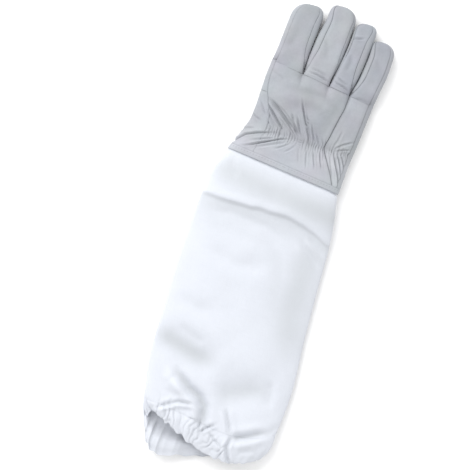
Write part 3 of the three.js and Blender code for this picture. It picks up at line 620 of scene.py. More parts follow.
LEATHER_CREASES = (
    # fan from the index side down to the middle of the elastic
    Crease(((-37, 137), (-21, 126.5), (-6, 115), (5.5, 106), (9, 99)), 2.1, 1.6, 0.6, 0.6, 0.3),
    Crease(((-20, 124), (-6, 113), (3, 104), (6, 99)), 1.2, 0.8, 0.7),
    Crease(((-34, 130), (-22, 117.5), (-12.5, 108), (-8, 101)), 1.7, 1.0, 0.65, 0.6, 0.2),
    Crease(((-33, 124), (-25, 114), (-17, 104)), 0.6, 0.9, 0.2),
    Crease(((-30, 115), (-26, 109), (-21, 102)), 0.6, 0.8, 0.25),
    Crease(((-24, 132), (-11, 123), (2, 112), (10, 101)), 0.9, 1.0, 0.35),
    Crease(((-42, 131), (-37, 123), (-31, 115)), 0.8, 1.0, 0.3, 0.4),
    Crease(((-48, 116), (-41, 112), (-34, 109)), 0.7, 0.9, 0.3, 0.4),
    # upright folds above the elastic
    Crease(((0, 146), (4, 133.5), (10, 121), (17.5, 106), (22, 92)), 1.8, 0.85, 1.0, 0.6, 0.2),
    Crease(((8, 132), (14, 118), (20, 104), (22, 98)), 1.2, 0.8, 0.5, 0.6),
    Crease(((0, 125), (5, 114), (11, 102)), 1.2, 0.8, 0.5),
    Crease(((-7, 128), (-1, 116), (6, 103)), 1.0, 0.9, 0.4),
    Crease(((17, 121), (21, 111), (26, 100)), 0.9, 0.8, 0.4),
    Crease(((24, 113), (28, 106), (32, 98)), 0.7, 0.8, 0.35),
    Crease(((31, 110), (34, 104), (37, 98)), 0.5, 0.8, 0.3),
    # long folds that run from the index edge into the elastic
    Crease(((-72, 70), (-61, 79), (-54, 85.5), (-46.5, 92), (-35.5, 96.2), (-16, 101.5)),
           1.7, 0.8, 1.0, 0.5, -0.4),
    Crease(((-50, 78.5), (-40, 82), (-24.5, 89), (-9, 96.5), (2, 99)), 1.6, 0.75, 1.0, 0.5, -0.4),
    Crease(((-44, 86), (-32, 90), (-18, 94.5), (-8, 98)), 0.8, 0.9, 0.3),
    Crease(((-34, 81), (-24, 85), (-12, 90.5), (0, 95)), 0.6, 0.9, 0.2),
    Crease(((-56, 94), (-47, 99), (-38, 101)), 0.7, 0.9, 0.35),
    Crease(((-14, 84), (-6, 89), (2, 95)), 0.7, 0.8, 0.3),
    Crease(((-4, 83), (3, 89), (8, 96)), 0.6, 0.8, 0.3),
    # fan below the elastic on the far side
    Crease(((47, 99), (53, 86), (58, 76), (63, 63)), 1.5, 1.0, 0.65, 0.6),
    Crease(((51, 99), (57, 86), (62, 73)), 1.5, 0.9, 0.65, 0.6),
    Crease(((55, 99), (60, 89), (64, 80)), 1.1, 0.9, 0.5, 0.6),
    Crease(((43, 97), (47, 86), (52, 74), (55, 66)), 0.8, 0.9, 0.3),
    Crease(((33, 95), (36, 86), (40, 76)), 0.9, 0.8, 0.35),
    Crease(((26, 95), (29, 85), (33, 74)), 0.8, 0.8, 0.3),
    Crease(((19, 95), (21, 84), (24, 72)), 0.7, 0.8, 0.3),
    Crease(((10, 94), (12, 86), (15, 76)), 0.5, 0.8, 0.2),
    Crease(((46, 100), (54, 107), (62, 112), (67, 114)), 0.9, 1.0, 0.35),
    Crease(((45, 101), (49, 112), (51, 123)), 0.6, 1.0, 0.25),
    Crease(((50, 100), (58, 103), (65, 105)), 0.8, 0.9, 0.4),
    # slow waves on the hand's back
    Crease(((-30, 150), (-12, 152), (10, 153), (24, 151), (36, 143), (41, 132)), 0.9, 6.0, 0.3, 0.4, 0.6),
    Crease(((-18, 132), (0, 138), (18, 137), (30, 130)), 0.4, 7.0, 0.2, 0.4, 0.4),
    # beside the seam across the knuckles and on the fingers
    Crease(((-2, 172.5), (8, 171.5), (16, 169.5), (25, 166.5)), 1.0, 0.8, 0.45, 0.6),
    Crease(((0, 176.5), (9, 175.5), (19, 172.5)), 0.7, 0.9, 0.3),
    Crease(((27, 170.5), (32, 168), (39, 166.5), (47, 162.5)), 1.1, 0.8, 0.5, 0.6),
    Crease(((30, 175), (36, 171.5), (43, 169.5)), 0.8, 0.9, 0.35),
    Crease(((52, 158), (60, 158.5), (70, 157.5)), 0.5, 1.2, 0.25, 0.4),
    Crease(((33, 218), (40, 219.5), (48, 222)), 0.8, 1.0, 0.35),
    Crease(((37, 203), (39, 192), (36, 181)), 0.8, 3.2, 0.35, 0.35),
    Crease(((5, 215), (12, 200), (14, 186)), 0.5, 3.0, 0.2, 0.35),
    Crease(((-30, 190), (-24, 202), (-22, 218)), 0.4, 4.5, 0.15, 0.35),
    Crease(((-40, 166), (-28, 160), (-20, 156)), 0.4, 2.0, 0.2, 0.4),
    Crease(((62, 205), (70, 196), (72, 184)), 0.4, 3.5, 0.2, 0.35),
)


@dataclass(frozen=True)
class Gathers:
    """Round ridges with sharp valleys between them, across a line where the material is drawn in.

    Places and lengths are millimetres in the CAD's frame. Ends are where the gathers begin and are full, and
    where they fade and stop. The fan spreads them from its centre with the distance from the line, and the
    dip is how far the line itself is drawn down.
    """

    line: tuple[tuple[float, float], ...]
    ends: tuple[float, float, float, float]
    height: float
    pitch: float
    reach: tuple[float, float]
    shade: float
    centre: float
    fan: float
    dip: float
    seed: float

    def measure(self, x: Array, y: Array) -> tuple[Array, Array]:
        """Height and painted shade of the gathers.

        The valley is the square of one minus the size of a sine along the line; noise bends its phase, and
        each gather has a length and strength of its own from the lattice.
        """
        line, seed = np.array(self.line), self.seed
        away = y - np.interp(x, line[:, 0], line[:, 1])
        inside = ease(*self.ends[:2], x) * (1 - ease(*self.ends[2:], x))
        spread = x + self.fan * (x - self.centre) * away
        far, near = noise(x / 7, away / 11, seed), noise(x / 3, away / 5, seed + 1)
        phase = spread / self.pitch + 0.6 * far + 0.25 * near
        number = np.floor(phase + 0.5)
        reach = lerp(*self.reach, lattice(number, 0 * number, seed + 2))
        depth = 0.45 + 0.55 * lattice(number, 0 * number + 3, seed + 3)
        valley = (1 - np.abs(np.sin(HALF_TURN * phase))) ** 2
        strength = inside * depth * np.exp(-np.abs(away / reach) ** 2.2)
        height = -self.height * strength * (valley - 0.25) - self.dip * inside * hump(away, 3.2)
        return height, self.shade * strength * valley


WRIST_GATHERS = Gathers(((-30, 100), (-2, 100), (17, 98), (37, 97.5), (56, 99), (64, 99)), (-34, -20, 62, 68),
                        1.4, 2.9, (3.8, 9.5), 0.75, 22, 0.0012, 0.9, 3)
MOUTH_GATHERS = Gathers(((-68, -214), (-40, -209), (-14, -222), (20, -236), (60, -230)), (-76, -60, 12, 30),
                        2.4, 6.5, (7.0, 17.0), 0.6, -38, -0.012, 0.0, 41)
NO_GATHERS = Gathers(((0, 0), (1, 0)), (0, 1, 2, 3), 0, 1, (1, 1), 0, 0, 0, 0, 0)


@dataclass(frozen=True)
class Folds:
    """Folds and gathers of a material, for places of the glove's own frame, whose origin they know."""

    origin: tuple[float, float]
    creases: tuple[Crease, ...] = ()
    gathers: Gathers = NO_GATHERS

    def __call__(self, x: Array, y: Array) -> Array:
        """Height at a place."""
        return self.measure(x, y)[0]

    def measure(self, x: Array, y: Array) -> tuple[Array, Array]:
        """Height and painted shade at a place."""
        raise NotImplementedError

    def add_creases(self, x: Array, y: Array, height: Array, dark: Array) -> tuple[Array, Array]:
        """Adds the creases to a height, and takes the darker painted shade where they cross."""
        for crease in self.creases:
            rise, shade = crease.relief(x, y)
            height, dark = height + rise, np.maximum(dark, shade)
        return height, dark


@dataclass(frozen=True)
class LeatherRelief(Folds):
    """Height of the leather on the hand's back: folds, gathers over the wrist elastic and soft unevenness."""

    creases: tuple[Crease, ...] = LEATHER_CREASES
    gathers: Gathers = WRIST_GATHERS

    def measure(self, x: Array, y: Array) -> tuple[Array, Array]:
        """Height and painted shade: the sum of the folds, the gathers and three scales of unevenness."""
        x, y = x + self.origin[0], y + self.origin[1]
        height, dark = self.add_creases(x, y, *self.gathers.measure(x, y))
        height = height + 0.45 * noise(x / 23, y / 26, 11) + 0.2 * noise(x / 9, y / 10, 12)
        return height + 0.07 * noise(x / 3.4, y / 3.8, 13), dark


COTTON_CREASES = (
    # folds that gather towards the mouth
    Crease(((-54, -158), (-48, -168), (-32, -180), (-19, -187), (-12, -195), (-9, -208), (-10, -223)),
           4.8, 4.6, 0.9, 0.9, 0.8),
    Crease(((-15, -196), (-13, -208), (-10, -224)), 1.6, 1.2, 0.7, 0.6),
    Crease(((-66, -212), (-53, -204), (-40, -197), (-25, -194.5), (-17, -198)), 2.0, 1.9, 0.5, 0.8, 0.5),
    Crease(((-58, -186), (-46, -190), (-34, -188), (-26, -182)), 0.8, 4.0, 0.15),
    Crease(((9, -188), (13, -196), (18, -206), (24, -220)), 2.2, 2.2, 0.5, 0.7),
    Crease(((20, -224), (32, -216), (41, -212.5), (62, -202)), 3.4, 3.6, 0.75, 0.8, 0.3),
    Crease(((7, -207), (-2, -214), (-13, -224)), 1.9, 1.3, 0.6, 0.7),
    Crease(((25, -214), (21.5, -229), (26, -240), (38, -256)), 2.4, 1.9, 0.5, 0.8),
    Crease(((34, -232), (44, -227), (54, -226)), 0.9, 2.4, 0.2),
    Crease(((-2, -218), (8, -226), (18, -232)), 1.4, 1.4, 0.45, 0.6),
    # dents
    Crease(((-88, -128), (-58, -139), (-34, -146), (-4, -151)), 4.6, 13.5, 0.85, 0.3),
    Crease(((-62, -118), (-44, -126), (-26, -132)), 1.2, 5.0, 0.2, 0.4),
    Crease(((-8, -186), (12, -174), (32, -166), (56, -162)), 4.2, 14.0, 0.6, 0.35),
    Crease(((46, -148), (51, -162), (52, -182)), 2.0, 5.0, 0.3, 0.4),
    # slow folds; the widest, down the far side and below the hem, mostly paint broad shade
    Crease(((60, 24), (50, -30), (50, -84), (66, -140)), 1.2, 26.0, 0.72, 0.2),
    Crease(((4, -4), (26, -40), (36, -100)), 0.9, 15.0, 0.3, 0.3),
    Crease(((-60, -30), (-20, -40), (18, -38)), 1.2, 8.0, 0.12, 0.4),
    Crease(((-70, -88), (-48, -96), (-28, -96)), 1.2, 7.0, 0.12, 0.4),
    Crease(((-72, 4), (-40, 9), (0, 4), (26, -6)), 1.2, 5.0, 0.15, 0.4),
    Crease(((36, 0), (52, -12), (68, -26)), 1.5, 3.0, 0.3),
    Crease(((46, 6), (58, -3), (70, -12)), 1.3, 2.4, 0.3),
    Crease(((-90, 58), (-40, 48), (-8, 42), (34, 38)), 1.0, 22.0, 0.8, 0.3),
    Crease(((-26, 46), (24, 38), (50, 33), (100, 28)), 1.0, 22.0, 0.9, 0.3),
    Crease(((-56, 66), (-50, 54), (-42, 44)), 1.0, 3.4, 0.2, 0.4),
    Crease(((70, -190), (62, -203), (52, -212)), 1.3, 3.0, 0.25, 0.4),
)


@dataclass(frozen=True)
class CottonRelief(Folds):
    """Height of the folds on top of the sleeve: creases, the step where it was folded, and slow billows."""

    creases: tuple[Crease, ...] = COTTON_CREASES
    gathers: Gathers = MOUTH_GATHERS
    step_line: tuple[tuple[float, float], ...] = ((-74, 22.5), (17, 21.5), (37, 17), (52, 11), (66, 4))
    step_depth: float = 4.8
    step_run: float = 23.0
    step_shade: float = 0.72

    def measure(self, x: Array, y: Array) -> tuple[Array, Array]:
        """Height and painted shade: creases, three scales of billows, and the step with its painted shadow
        below it.
        """
        x, y = x + self.origin[0], y + self.origin[1]
        billows = 1.3 * noise(x / 46, y / 40, 21) + 0.4 * noise(x / 19, y / 17, 22)
        drawn, dark = self.gathers.measure(x, y)
        billows = billows + 0.06 * noise(x / 5, y / 5, 23)
        height, dark = self.add_creases(x, y, billows + drawn, dark)
        line = np.array(self.step_line)
        wave = 0.8 * noise(x / 11, 0 * x, 24)
        below = np.interp(x, line[:, 0], line[:, 1]) + wave - y
        fading = np.exp(-np.maximum(0, below) / self.step_run)
        drop = ease(-0.3, 4.6, below) * fading
        # painted shadow below the step, fading downwards
        shade = self.step_shade * ease(-0.6, 2.2, below) * fading**1.3
        return height - self.step_depth * drop + 0.7 * hump(below + 3, 3.5), np.maximum(dark, shade)


class Side(Enum):
    """Sides of a panel's grid."""

    START = 0
    END = 1
    LEFT = 2
    RIGHT = 3


@dataclass
class Grid:
    """A finished panel: outer and inner points, the painted shade and darkening at each, and its cloth place.
    """

    outer: Array
    inner: Array
    painted_shade_and_darkening: Array
    cloth: Array


def crowded(length: float, step: float, start: bool = True, end: bool = True) -> Array:
    """Shares from 0 to 1 about one step apart, closer together at the ends that are turned in at a seam.

    Args:
        length: Length that the shares divide, in millimetres.
        step: Usual spacing.
        start: Whether the first end is turned in.
        end: Whether the last end is turned in.

    Returns:
        The shares in rising order.
    """
    close = np.array([0, 0.12, 0.32, 0.62, 1.0, 1.5, 2.2]) / length
    first = close if start else np.array([0.0])
    last = 1 - close[::-1] if end else np.array([1.0])
    count = max(2, round((last[0] - first[-1]) * length / step))
    return np.concatenate([first, np.linspace(first[-1], last[0], count + 1)[1:-1], last])


@dataclass(frozen=True)
class Roll:
    """A seam's turned-in edge: its radius in millimetres and how strongly painted shade darkens the seam."""

    radius: float | Array
    shade: float | Array = 0.8


@dataclass
class Panel:
    """A panel of leather or cotton on a surface of two shares, with its edges turned in at the seams.

    A turned edge sinks by a quarter circle of its roll's radius, swells a little beside it, puckers along it
    and takes painted shade. The relief weight is how much of the relief lifts the surface. Where the surface
    already follows the relief, it is 0, and shade_only gives the weight of its painted shade.
    """

    surface: Surface
    rows: Array
    columns: Array
    wall: float
    rolls: dict[Side, Roll] = field(default_factory=dict)
    relief: Folds | None = None
    relief_weight: float | Array = 1.0
    shade_only: float = 0.0
    shaded: float | Array = 1.0
    swell: float = 0.3
    swell_place: float = 3.2
    swell_reach: float = 2.4
    pucker: float = 0.16
    pucker_pitch: float = 2.9
    pucker_reach: float = 4.5
    shade_reach: float = 0.8
    # darkness the caller gives: painted shade in the hem's stitch pits, and darker fingertips
    darkening: float | Array = 0.0
    closed: bool = False

    def grid(self) -> Grid:
        """Works out the panel's points, grooves and cloth places as whole arrays."""
        s, t = np.meshgrid(self.rows, self.columns, indexing="ij")
        flat = self.surface(s, t, np.zeros_like(s))
        down = np.pad(np.cumsum(np.linalg.norm(np.diff(flat, axis=0), axis=2), axis=0), ((1, 0), (0, 0)))
        over = np.pad(np.cumsum(np.linalg.norm(np.diff(flat, axis=1), axis=2), axis=1), ((0, 0), (1, 0)))
        run = (flat[..., 0] + flat[..., 1]) / self.pucker_pitch
        distances = {Side.START: down, Side.END: down[-1:] - down,
                     Side.LEFT: over, Side.RIGHT: over[:, -1:] - over}
        # dark holds painted shade: the caller's darkening, the seams' shade and the folds' shade, the darkest
        # of them
        sink, dark, lift = np.zeros_like(s), self.darkening * np.ones_like(s), np.zeros_like(s)
        for side, roll in self.rolls.items():
            distance = distances[side]
            size = np.maximum(np.asarray(roll.radius, float) * np.ones_like(s), 1e-3)
            weight = size / LEATHER_WALL
            share = np.clip(distance / size, 0, 1)
            sink = np.maximum(sink, size * (1 - np.sqrt(1 - (1 - share) ** 2)))
            ruck = noise(run, distance / 7 + 5 * side.value, 31) * np.exp(-distance / self.pucker_reach)
            swell = self.swell * hump(distance - self.swell_place, self.swell_reach)
            lift = lift + weight * (swell + self.pucker * ruck)
            # painted shade along the seam's groove
            dark = np.maximum(dark, roll.shade * np.exp(-distance / self.shade_reach))
        if self.relief is not None:
            height, shade = self.relief.measure(flat[..., 0], flat[..., 1])
            lift = lift + self.relief_weight * height
            # painted shade in the folds' valleys
            dark = np.maximum(dark, np.maximum(self.relief_weight, self.shade_only) * shade * self.shaded)
        outer = self.surface(s, t, sink - lift)
        inner = self.surface(s, t, self.wall + 0.5 * sink - lift)
        if self.closed:
            outer[:, -1], inner[:, -1] = outer[:, 0], inner[:, 0]
        return Grid(outer, inner, dark, np.stack([over, down], -1))


@dataclass
class Placement:
    """Where the glove's own frame lies in the CAD's frame, in millimetres."""

    offset: Array

    def metres(self, points: Array) -> Array:
        """Points of the glove's own frame in metres in the CAD's frame."""
        return (points + self.offset) * METRES


def first_corners(sizes: Array) -> Array:
    """Number of each face's first corner: the sum of the faces before it."""
    return np.cumsum(sizes) - sizes


def turned_round(sizes: Array) -> Array:
    """Order of the face corners that turns every face the other way round."""
    first = np.repeat(first_corners(sizes), sizes)
    return 2 * first + np.repeat(sizes, sizes) - 1 - np.arange(len(first))


def volume(points: Array, corners: Array, sizes: Array) -> float:
    """Signed volume of a closed mesh: the sum over fans of triangles of their triple products, over six."""
    starts = first_corners(sizes)
    a, b, c = (points[corners[starts + step]] for step in (0, 1, 2))
    total = np.einsum("ij,ij->i", a, np.cross(b, c)).sum()
    four = starts[sizes == 4]
    a, b, c = (points[corners[four + step]] for step in (0, 2, 3))
    return float(total + np.einsum("ij,ij->i", a, np.cross(b, c)).sum()) / 6


def make_object(name: str, points: Array, corners: Array, sizes: Array, smooth: Array,
                material: bpy.types.Material) -> bpy.types.Object:
    """Makes a mesh object from whole arrays.

    Args:
        name: The object's name.
        points: Vertices in metres.
        corners: Vertex of each face corner, face after face.
        sizes: Corners of each face.
        smooth: Whether each face is shaded smooth.
        material: The finish.

    Returns:
        The object, linked to the scene.
    """
    mesh = bpy.data.meshes.new(name)
    mesh.vertices.add(len(points))
    mesh.vertices.foreach_set("co", points.astype(np.float32).ravel())
    mesh.loops.add(len(corners))
    mesh.loops.foreach_set("vertex_index", corners.astype(np.int32))
    mesh.polygons.add(len(sizes))
    mesh.polygons.foreach_set("loop_start", first_corners(sizes).astype(np.int32))
    mesh.polygons.foreach_set("loop_total", sizes.astype(np.int32))
    mesh.polygons.foreach_set("use_smooth", smooth)
    mesh.update(calc_edges=True)
    mesh.materials.append(material)
    made = bpy.data.objects.new(name, mesh)
    bpy.context.scene.collection.objects.link(made)
    return made


def number_quads(grids: list[Grid]) -> Array:
    """Faces of every grid, by the numbers of their points, counted through all the grids."""
    quads, start = [], 0
    for grid in grids:
        number = np.arange(grid.painted_shade_and_darkening.size).reshape(grid.painted_shade_and_darkening.shape) + start
        faces = np.stack([number[:-1, :-1], number[:-1, 1:], number[1:, 1:], number[1:, :-1]], -1)
        quads.append(faces.reshape(-1, 4))
        start += grid.painted_shade_and_darkening.size
    return np.concatenate(quads)


def sew(name: str, grids: list[Grid], place: Placement, material: bpy.types.Material) -> bpy.types.Object:
    """Joins grids that share edges into one closed wall: outer faces, inner faces turned round, and a rim.

    Points at one place are welded, a face with two points at one place becomes a triangle, and an edge whose
    other way round no face has is on the rim.

    Args:
        name: The object's name.
        grids: The panel's grids.
        place: Where the glove lies in the CAD's frame.
        material: The finish.

    Returns:
        The piece, with its attribute of painted shade and darkening, and its cloth map.
    """
    outer = np.concatenate([grid.outer.reshape(-1, 3) for grid in grids])
    inner = np.concatenate([grid.inner.reshape(-1, 3) for grid in grids])
    painted_shade_and_darkening = np.concatenate([grid.painted_shade_and_darkening.ravel() for grid in grids])
    cloth = np.concatenate([grid.cloth.reshape(-1, 2) for grid in grids]) * METRES
    quads = number_quads(grids)
    _, first, weld = np.unique(np.round(outer, 3), axis=0, return_index=True, return_inverse=True)
    welded = weld.ravel()[quads]
    same = welded == np.roll(welded, -1, axis=1)
    kept = same.sum(axis=1) < 2
    present = ~same[kept]
    sizes = present.sum(axis=1)
    tips, sources = welded[kept][present], quads[kept][present]
    begins = np.repeat(first_corners(sizes), sizes)
    after = np.arange(len(tips)) + 1
    following = np.where(after < begins + np.repeat(sizes, sizes), after, begins)
    count = len(first)
    rim = np.flatnonzero(~np.isin(tips * count + tips[following], tips[following] * count + tips))
    a, b = tips[rim], tips[following][rim]
    rim_corners = np.stack([b, a, a + count, b + count], -1).ravel()
    a, b = sources[rim], sources[following][rim]
    rim_sources = np.stack([b, a, a, b], -1).ravel()
    backwards = turned_round(sizes)
    corners = np.concatenate([tips, tips[backwards] + count, rim_corners])
    origin = np.concatenate([sources, sources[backwards], rim_sources])
    smooth = np.concatenate([np.ones(2 * len(sizes), bool), np.zeros(len(rim), bool)])
    sizes = np.concatenate([sizes, sizes, np.full(len(rim), 4)])
    points = place.metres(np.concatenate([outer[first], inner[first]]))
    if volume(points, corners, sizes) < 0:
        turned = turned_round(sizes)
        corners, origin = corners[turned], origin[turned]
    made = make_object(name, points, corners, sizes, smooth, material)
    # painted shade in seams, folds and stitch pits, and darker fingertips
    depth = made.data.attributes.new("painted_shade_and_darkening", "FLOAT", "POINT")
    depth.data.foreach_set("value", np.concatenate([painted_shade_and_darkening[first], painted_shade_and_darkening[first]]).astype(np.float32))
    made.data.uv_layers.new(name="cloth").data.foreach_set("uv", cloth[origin].astype(np.float32).ravel())
    LOG.info("%s: %d faces", name, len(sizes))
    return made


@dataclass
class Graph:
    """A node tree that is being filled in."""

    tree: bpy.types.NodeTree

    def add(self, kind: str, inputs: dict | None = None, **settings: object) -> bpy.types.Node:
        """Adds a node, sets its properties and fills its inputs with values or links.

        Args:
            kind: The node's type.
            inputs: Values or sockets by input name or number.
            settings: Properties of the node.

        Returns:
            The node.
        """
        node = self.tree.nodes.new(kind)
        for name, value in settings.items():
            setattr(node, name, value)
        for key, value in (inputs or {}).items():
            if isinstance(value, Socket):
                self.tree.links.new(value, node.inputs[key])
            else:
                node.inputs[key].default_value = value
        return node

    def math(self, operation: str, *values: object) -> Socket:
        """Adds a Math node over the values and gives its result."""
        return self.add("ShaderNodeMath", dict(enumerate(values)), operation=operation).outputs[0]

    def vector(self, operation: str, inputs: dict) -> Socket:
        """Adds a Vector Math node and gives its result."""
        return self.add("ShaderNodeVectorMath", inputs, operation=operation).outputs["Vector"]

    def noise(self, vector: Socket, scale: object, detail: float = 2.0, output: str = "Fac") -> Socket:
        """Adds a Noise texture at a scale and gives its value, or its colour where the output says so."""
        inputs = {"Vector": vector, "Scale": scale, "Detail": detail}
        return self.add("ShaderNodeTexNoise", inputs).outputs[output]

    def remap(self, value: Socket, low: object, high: object, new_low: object, new_high: object,
              **settings: object) -> Socket:
        """Maps the range from low to high on to a new one."""
        inputs = {"Value": value, 1: low, 2: high, 3: new_low, 4: new_high}
        return self.add("ShaderNodeMapRange", inputs, **settings).outputs[0]

    def spread(self, value: Socket, low: object, high: object) -> Socket:
        """Maps the middle range of a noise, 0.3 to 0.7, to low and high."""
        return self.remap(value, 0.3, 0.7, low, high)

    def mix(self, factor: Socket, a: object, b: object) -> Socket:
        """Adds a Mix node between two colours and gives its result."""
        inputs = {"Factor": factor, "A": a, "B": b}
        return self.add("ShaderNodeMix", inputs, data_type="RGBA").outputs["Result"]


def new_group(name: str, inputs: dict[str, tuple[str, object]],
              outputs: dict[str, str]) -> tuple[Graph, dict, dict]:
    """Starts a shader node group.

    Args:
        name: The group's name.
        inputs: Socket kind and starting value by name.
        outputs: Socket kind by name.

    Returns:
        The graph, the group's inputs by name, and a dict of its outputs' sockets by name.
    """
    tree = bpy.data.node_groups.new(name, "ShaderNodeTree")
    for label, (kind, value) in inputs.items():
        tree.interface.new_socket(label, in_out="INPUT", socket_type=kind).default_value = value
    for label, kind in outputs.items():
        tree.interface.new_socket(label, in_out="OUTPUT", socket_type=kind)
    graph = Graph(tree)
    given, result = graph.add("NodeGroupInput"), graph.add("NodeGroupOutput")
    return (graph, {label: given.outputs[label] for label in inputs},
            {label: result.inputs[label] for label in outputs})


def new_material(name: str) -> tuple[bpy.types.Material, Graph]:
    """Makes a material with an empty node tree, and the graph to fill it with."""
    made = bpy.data.materials.new(name)
    made.use_nodes = True
    made.node_tree.nodes.clear()
    return made, Graph(made.node_tree)


COLOUR, NUMBER = "NodeSocketColor", "NodeSocketFloat"
WHITE = (1, 1, 1, 1)


class Effects:
    """Node groups that more than one finish uses."""

    def __init__(self) -> None:
        """Builds each group once."""
        self.mottle = self.make_mottle()
        self.seam_shade = self.make_seam_shade()

    def make_mottle(self) -> bpy.types.NodeTree:
        """Uneven colour: a broad and a fine noise lighten and darken the colour, and a slow one tints it."""
        graph, given, result = new_group(
            "uneven_colour",
            {"Color": (COLOUR, WHITE), "Broad": (NUMBER, 40.0), "Fine": (NUMBER, 400.0),
             "Amount": (NUMBER, 0.05), "Tint": (NUMBER, 0.0)},
            {"Color": COLOUR, "Value": NUMBER},
        )
        place = graph.add("ShaderNodeTexCoord").outputs["Object"]
        broad = graph.spread(graph.noise(place, given["Broad"], 3.0), -1.0, 1.0)
        fine = graph.spread(graph.noise(place, given["Fine"], 2.0), -0.5, 0.5)
        value = graph.math("ADD", broad, fine)
        factor = graph.math("ADD", graph.math("MULTIPLY", value, given["Amount"]), 1.0)
        mottled = graph.vector("SCALE", {0: given["Color"], "Scale": factor})
        cloud = graph.vector("SCALE", {0: graph.noise(place, 34.0, 2.0, "Color"), "Scale": 2.0})
        tinted = graph.vector("MULTIPLY", {0: mottled, 1: graph.mix(given["Tint"], WHITE, cloud)})
        graph.tree.links.new(tinted, result["Color"])
        graph.tree.links.new(value, result["Value"])
        return graph.tree

    def make_seam_shade(self) -> bpy.types.NodeTree:
        """Painted shade and darker tips: the colour moves to a shade colour by the piece's darkness
        attribute.
        """
        graph, given, result = new_group(
            "seam_shade",
            {"Color": (COLOUR, WHITE), "Painted shade": (COLOUR, (0.2, 0.2, 0.2, 1)), "Strength": (NUMBER, 0.5)},
            {"Color": COLOUR, "Mask": NUMBER},
        )
        painted_shade_and_darkening = graph.add("ShaderNodeAttribute", attribute_name="painted_shade_and_darkening").outputs["Fac"]
        mask = graph.math("MULTIPLY", painted_shade_and_darkening, given["Strength"])
        graph.tree.links.new(graph.mix(mask, given["Color"], given["Painted shade"]), result["Color"])
        graph.tree.links.new(mask, result["Mask"])
        return graph.tree


@dataclass(frozen=True)
class LeatherFinish:
    """Pale goatskin: fine pebble grain, soft mottling, painted shade in seams and folds, painted light
    towards the hem.

    Pebble and grain depth are metres. Broad, fine and fibre are scales of noise. Two places along the glove,
    in metres, bound the change from painted light towards the hem to painted shade towards the fingers.
    """

    name: str
    colour: tuple[float, float, float]
    # colour and strength of the painted shade in seams and folds
    painted_shade_colour: tuple[float, float, float] = (0.11, 0.115, 0.125)
    painted_shade_strength: float = 0.62
    pebble: float = 0.0010
    grain_depth: float = 0.00009
    broad: float = 55.0
    fine: float = 420.0
    fibre: float = 2400.0
    uneven: float = 0.05
    # colour factors for painted light towards the hem and painted shade towards the fingers
    painted_cuff_light: float = 1.1
    painted_light_factor: float = 0.885
    painted_light_span: tuple[float, float] = (0.1, 0.13)

    def make(self, effects: Effects) -> bpy.types.Material:
        """Builds the material."""
        made, graph = new_material(self.name)
        place = graph.add("ShaderNodeTexCoord").outputs["Object"]
        # painted light and shade: the colour is lighter towards the hem and darker towards the fingers
        along = graph.math("MULTIPLY_ADD", graph.noise(place, 30.0), 0.03,
                           graph.add("ShaderNodeSeparateXYZ", {0: place}).outputs["Y"])
        painted_light_factor = graph.remap(along, *self.painted_light_span, self.painted_cuff_light, self.painted_light_factor, interpolation_type="SMOOTHSTEP")
        mottle = graph.add("ShaderNodeGroup", {
            "Color": graph.vector("SCALE", {0: self.colour, "Scale": painted_light_factor}), "Broad": self.broad,
            "Fine": self.fine, "Amount": self.uneven, "Tint": self.uneven}, node_tree=effects.mottle)
        shade = graph.add("ShaderNodeGroup", {
            "Color": mottle.outputs["Color"], "Painted shade": (*self.painted_shade_colour, 1), "Strength": self.painted_shade_strength},
            node_tree=effects.seam_shade)
        drift = graph.noise(place, 600.0, 1.0, "Color")
        warp = graph.vector("MULTIPLY_ADD", {0: drift, 1: (0.7 * self.pebble,) * 3, 2: place})
        cells = graph.add("ShaderNodeTexVoronoi", {"Vector": warp, "Scale": 1 / self.pebble},
                          feature="DISTANCE_TO_EDGE").outputs["Distance"]
        pebble = graph.remap(cells, 0.0, 0.22, 0.0, 1.0)
        fibre = graph.noise(place, self.fibre, 3.0)
        height = graph.math("ADD", pebble, graph.math("MULTIPLY", fibre, 0.5))
        bump = graph.add("ShaderNodeBump", {"Strength": 0.55, "Distance": self.grain_depth, "Height": height})
        rough = graph.math("ADD", graph.spread(graph.noise(place, 130.0, 3.0), 0.6, 0.74),
                           graph.math("MULTIPLY", shade.outputs["Mask"], 0.15))
        shader = graph.add("ShaderNodeBsdfPrincipled", {
            "Base Color": shade.outputs["Color"], "Roughness": rough, "Normal": bump.outputs["Normal"],
            "Specular IOR Level": 0.32, "Sheen Weight": 0.12, "Sheen Roughness": 0.45})
        graph.add("ShaderNodeOutputMaterial", {"Surface": shader.outputs["BSDF"]})
        return made


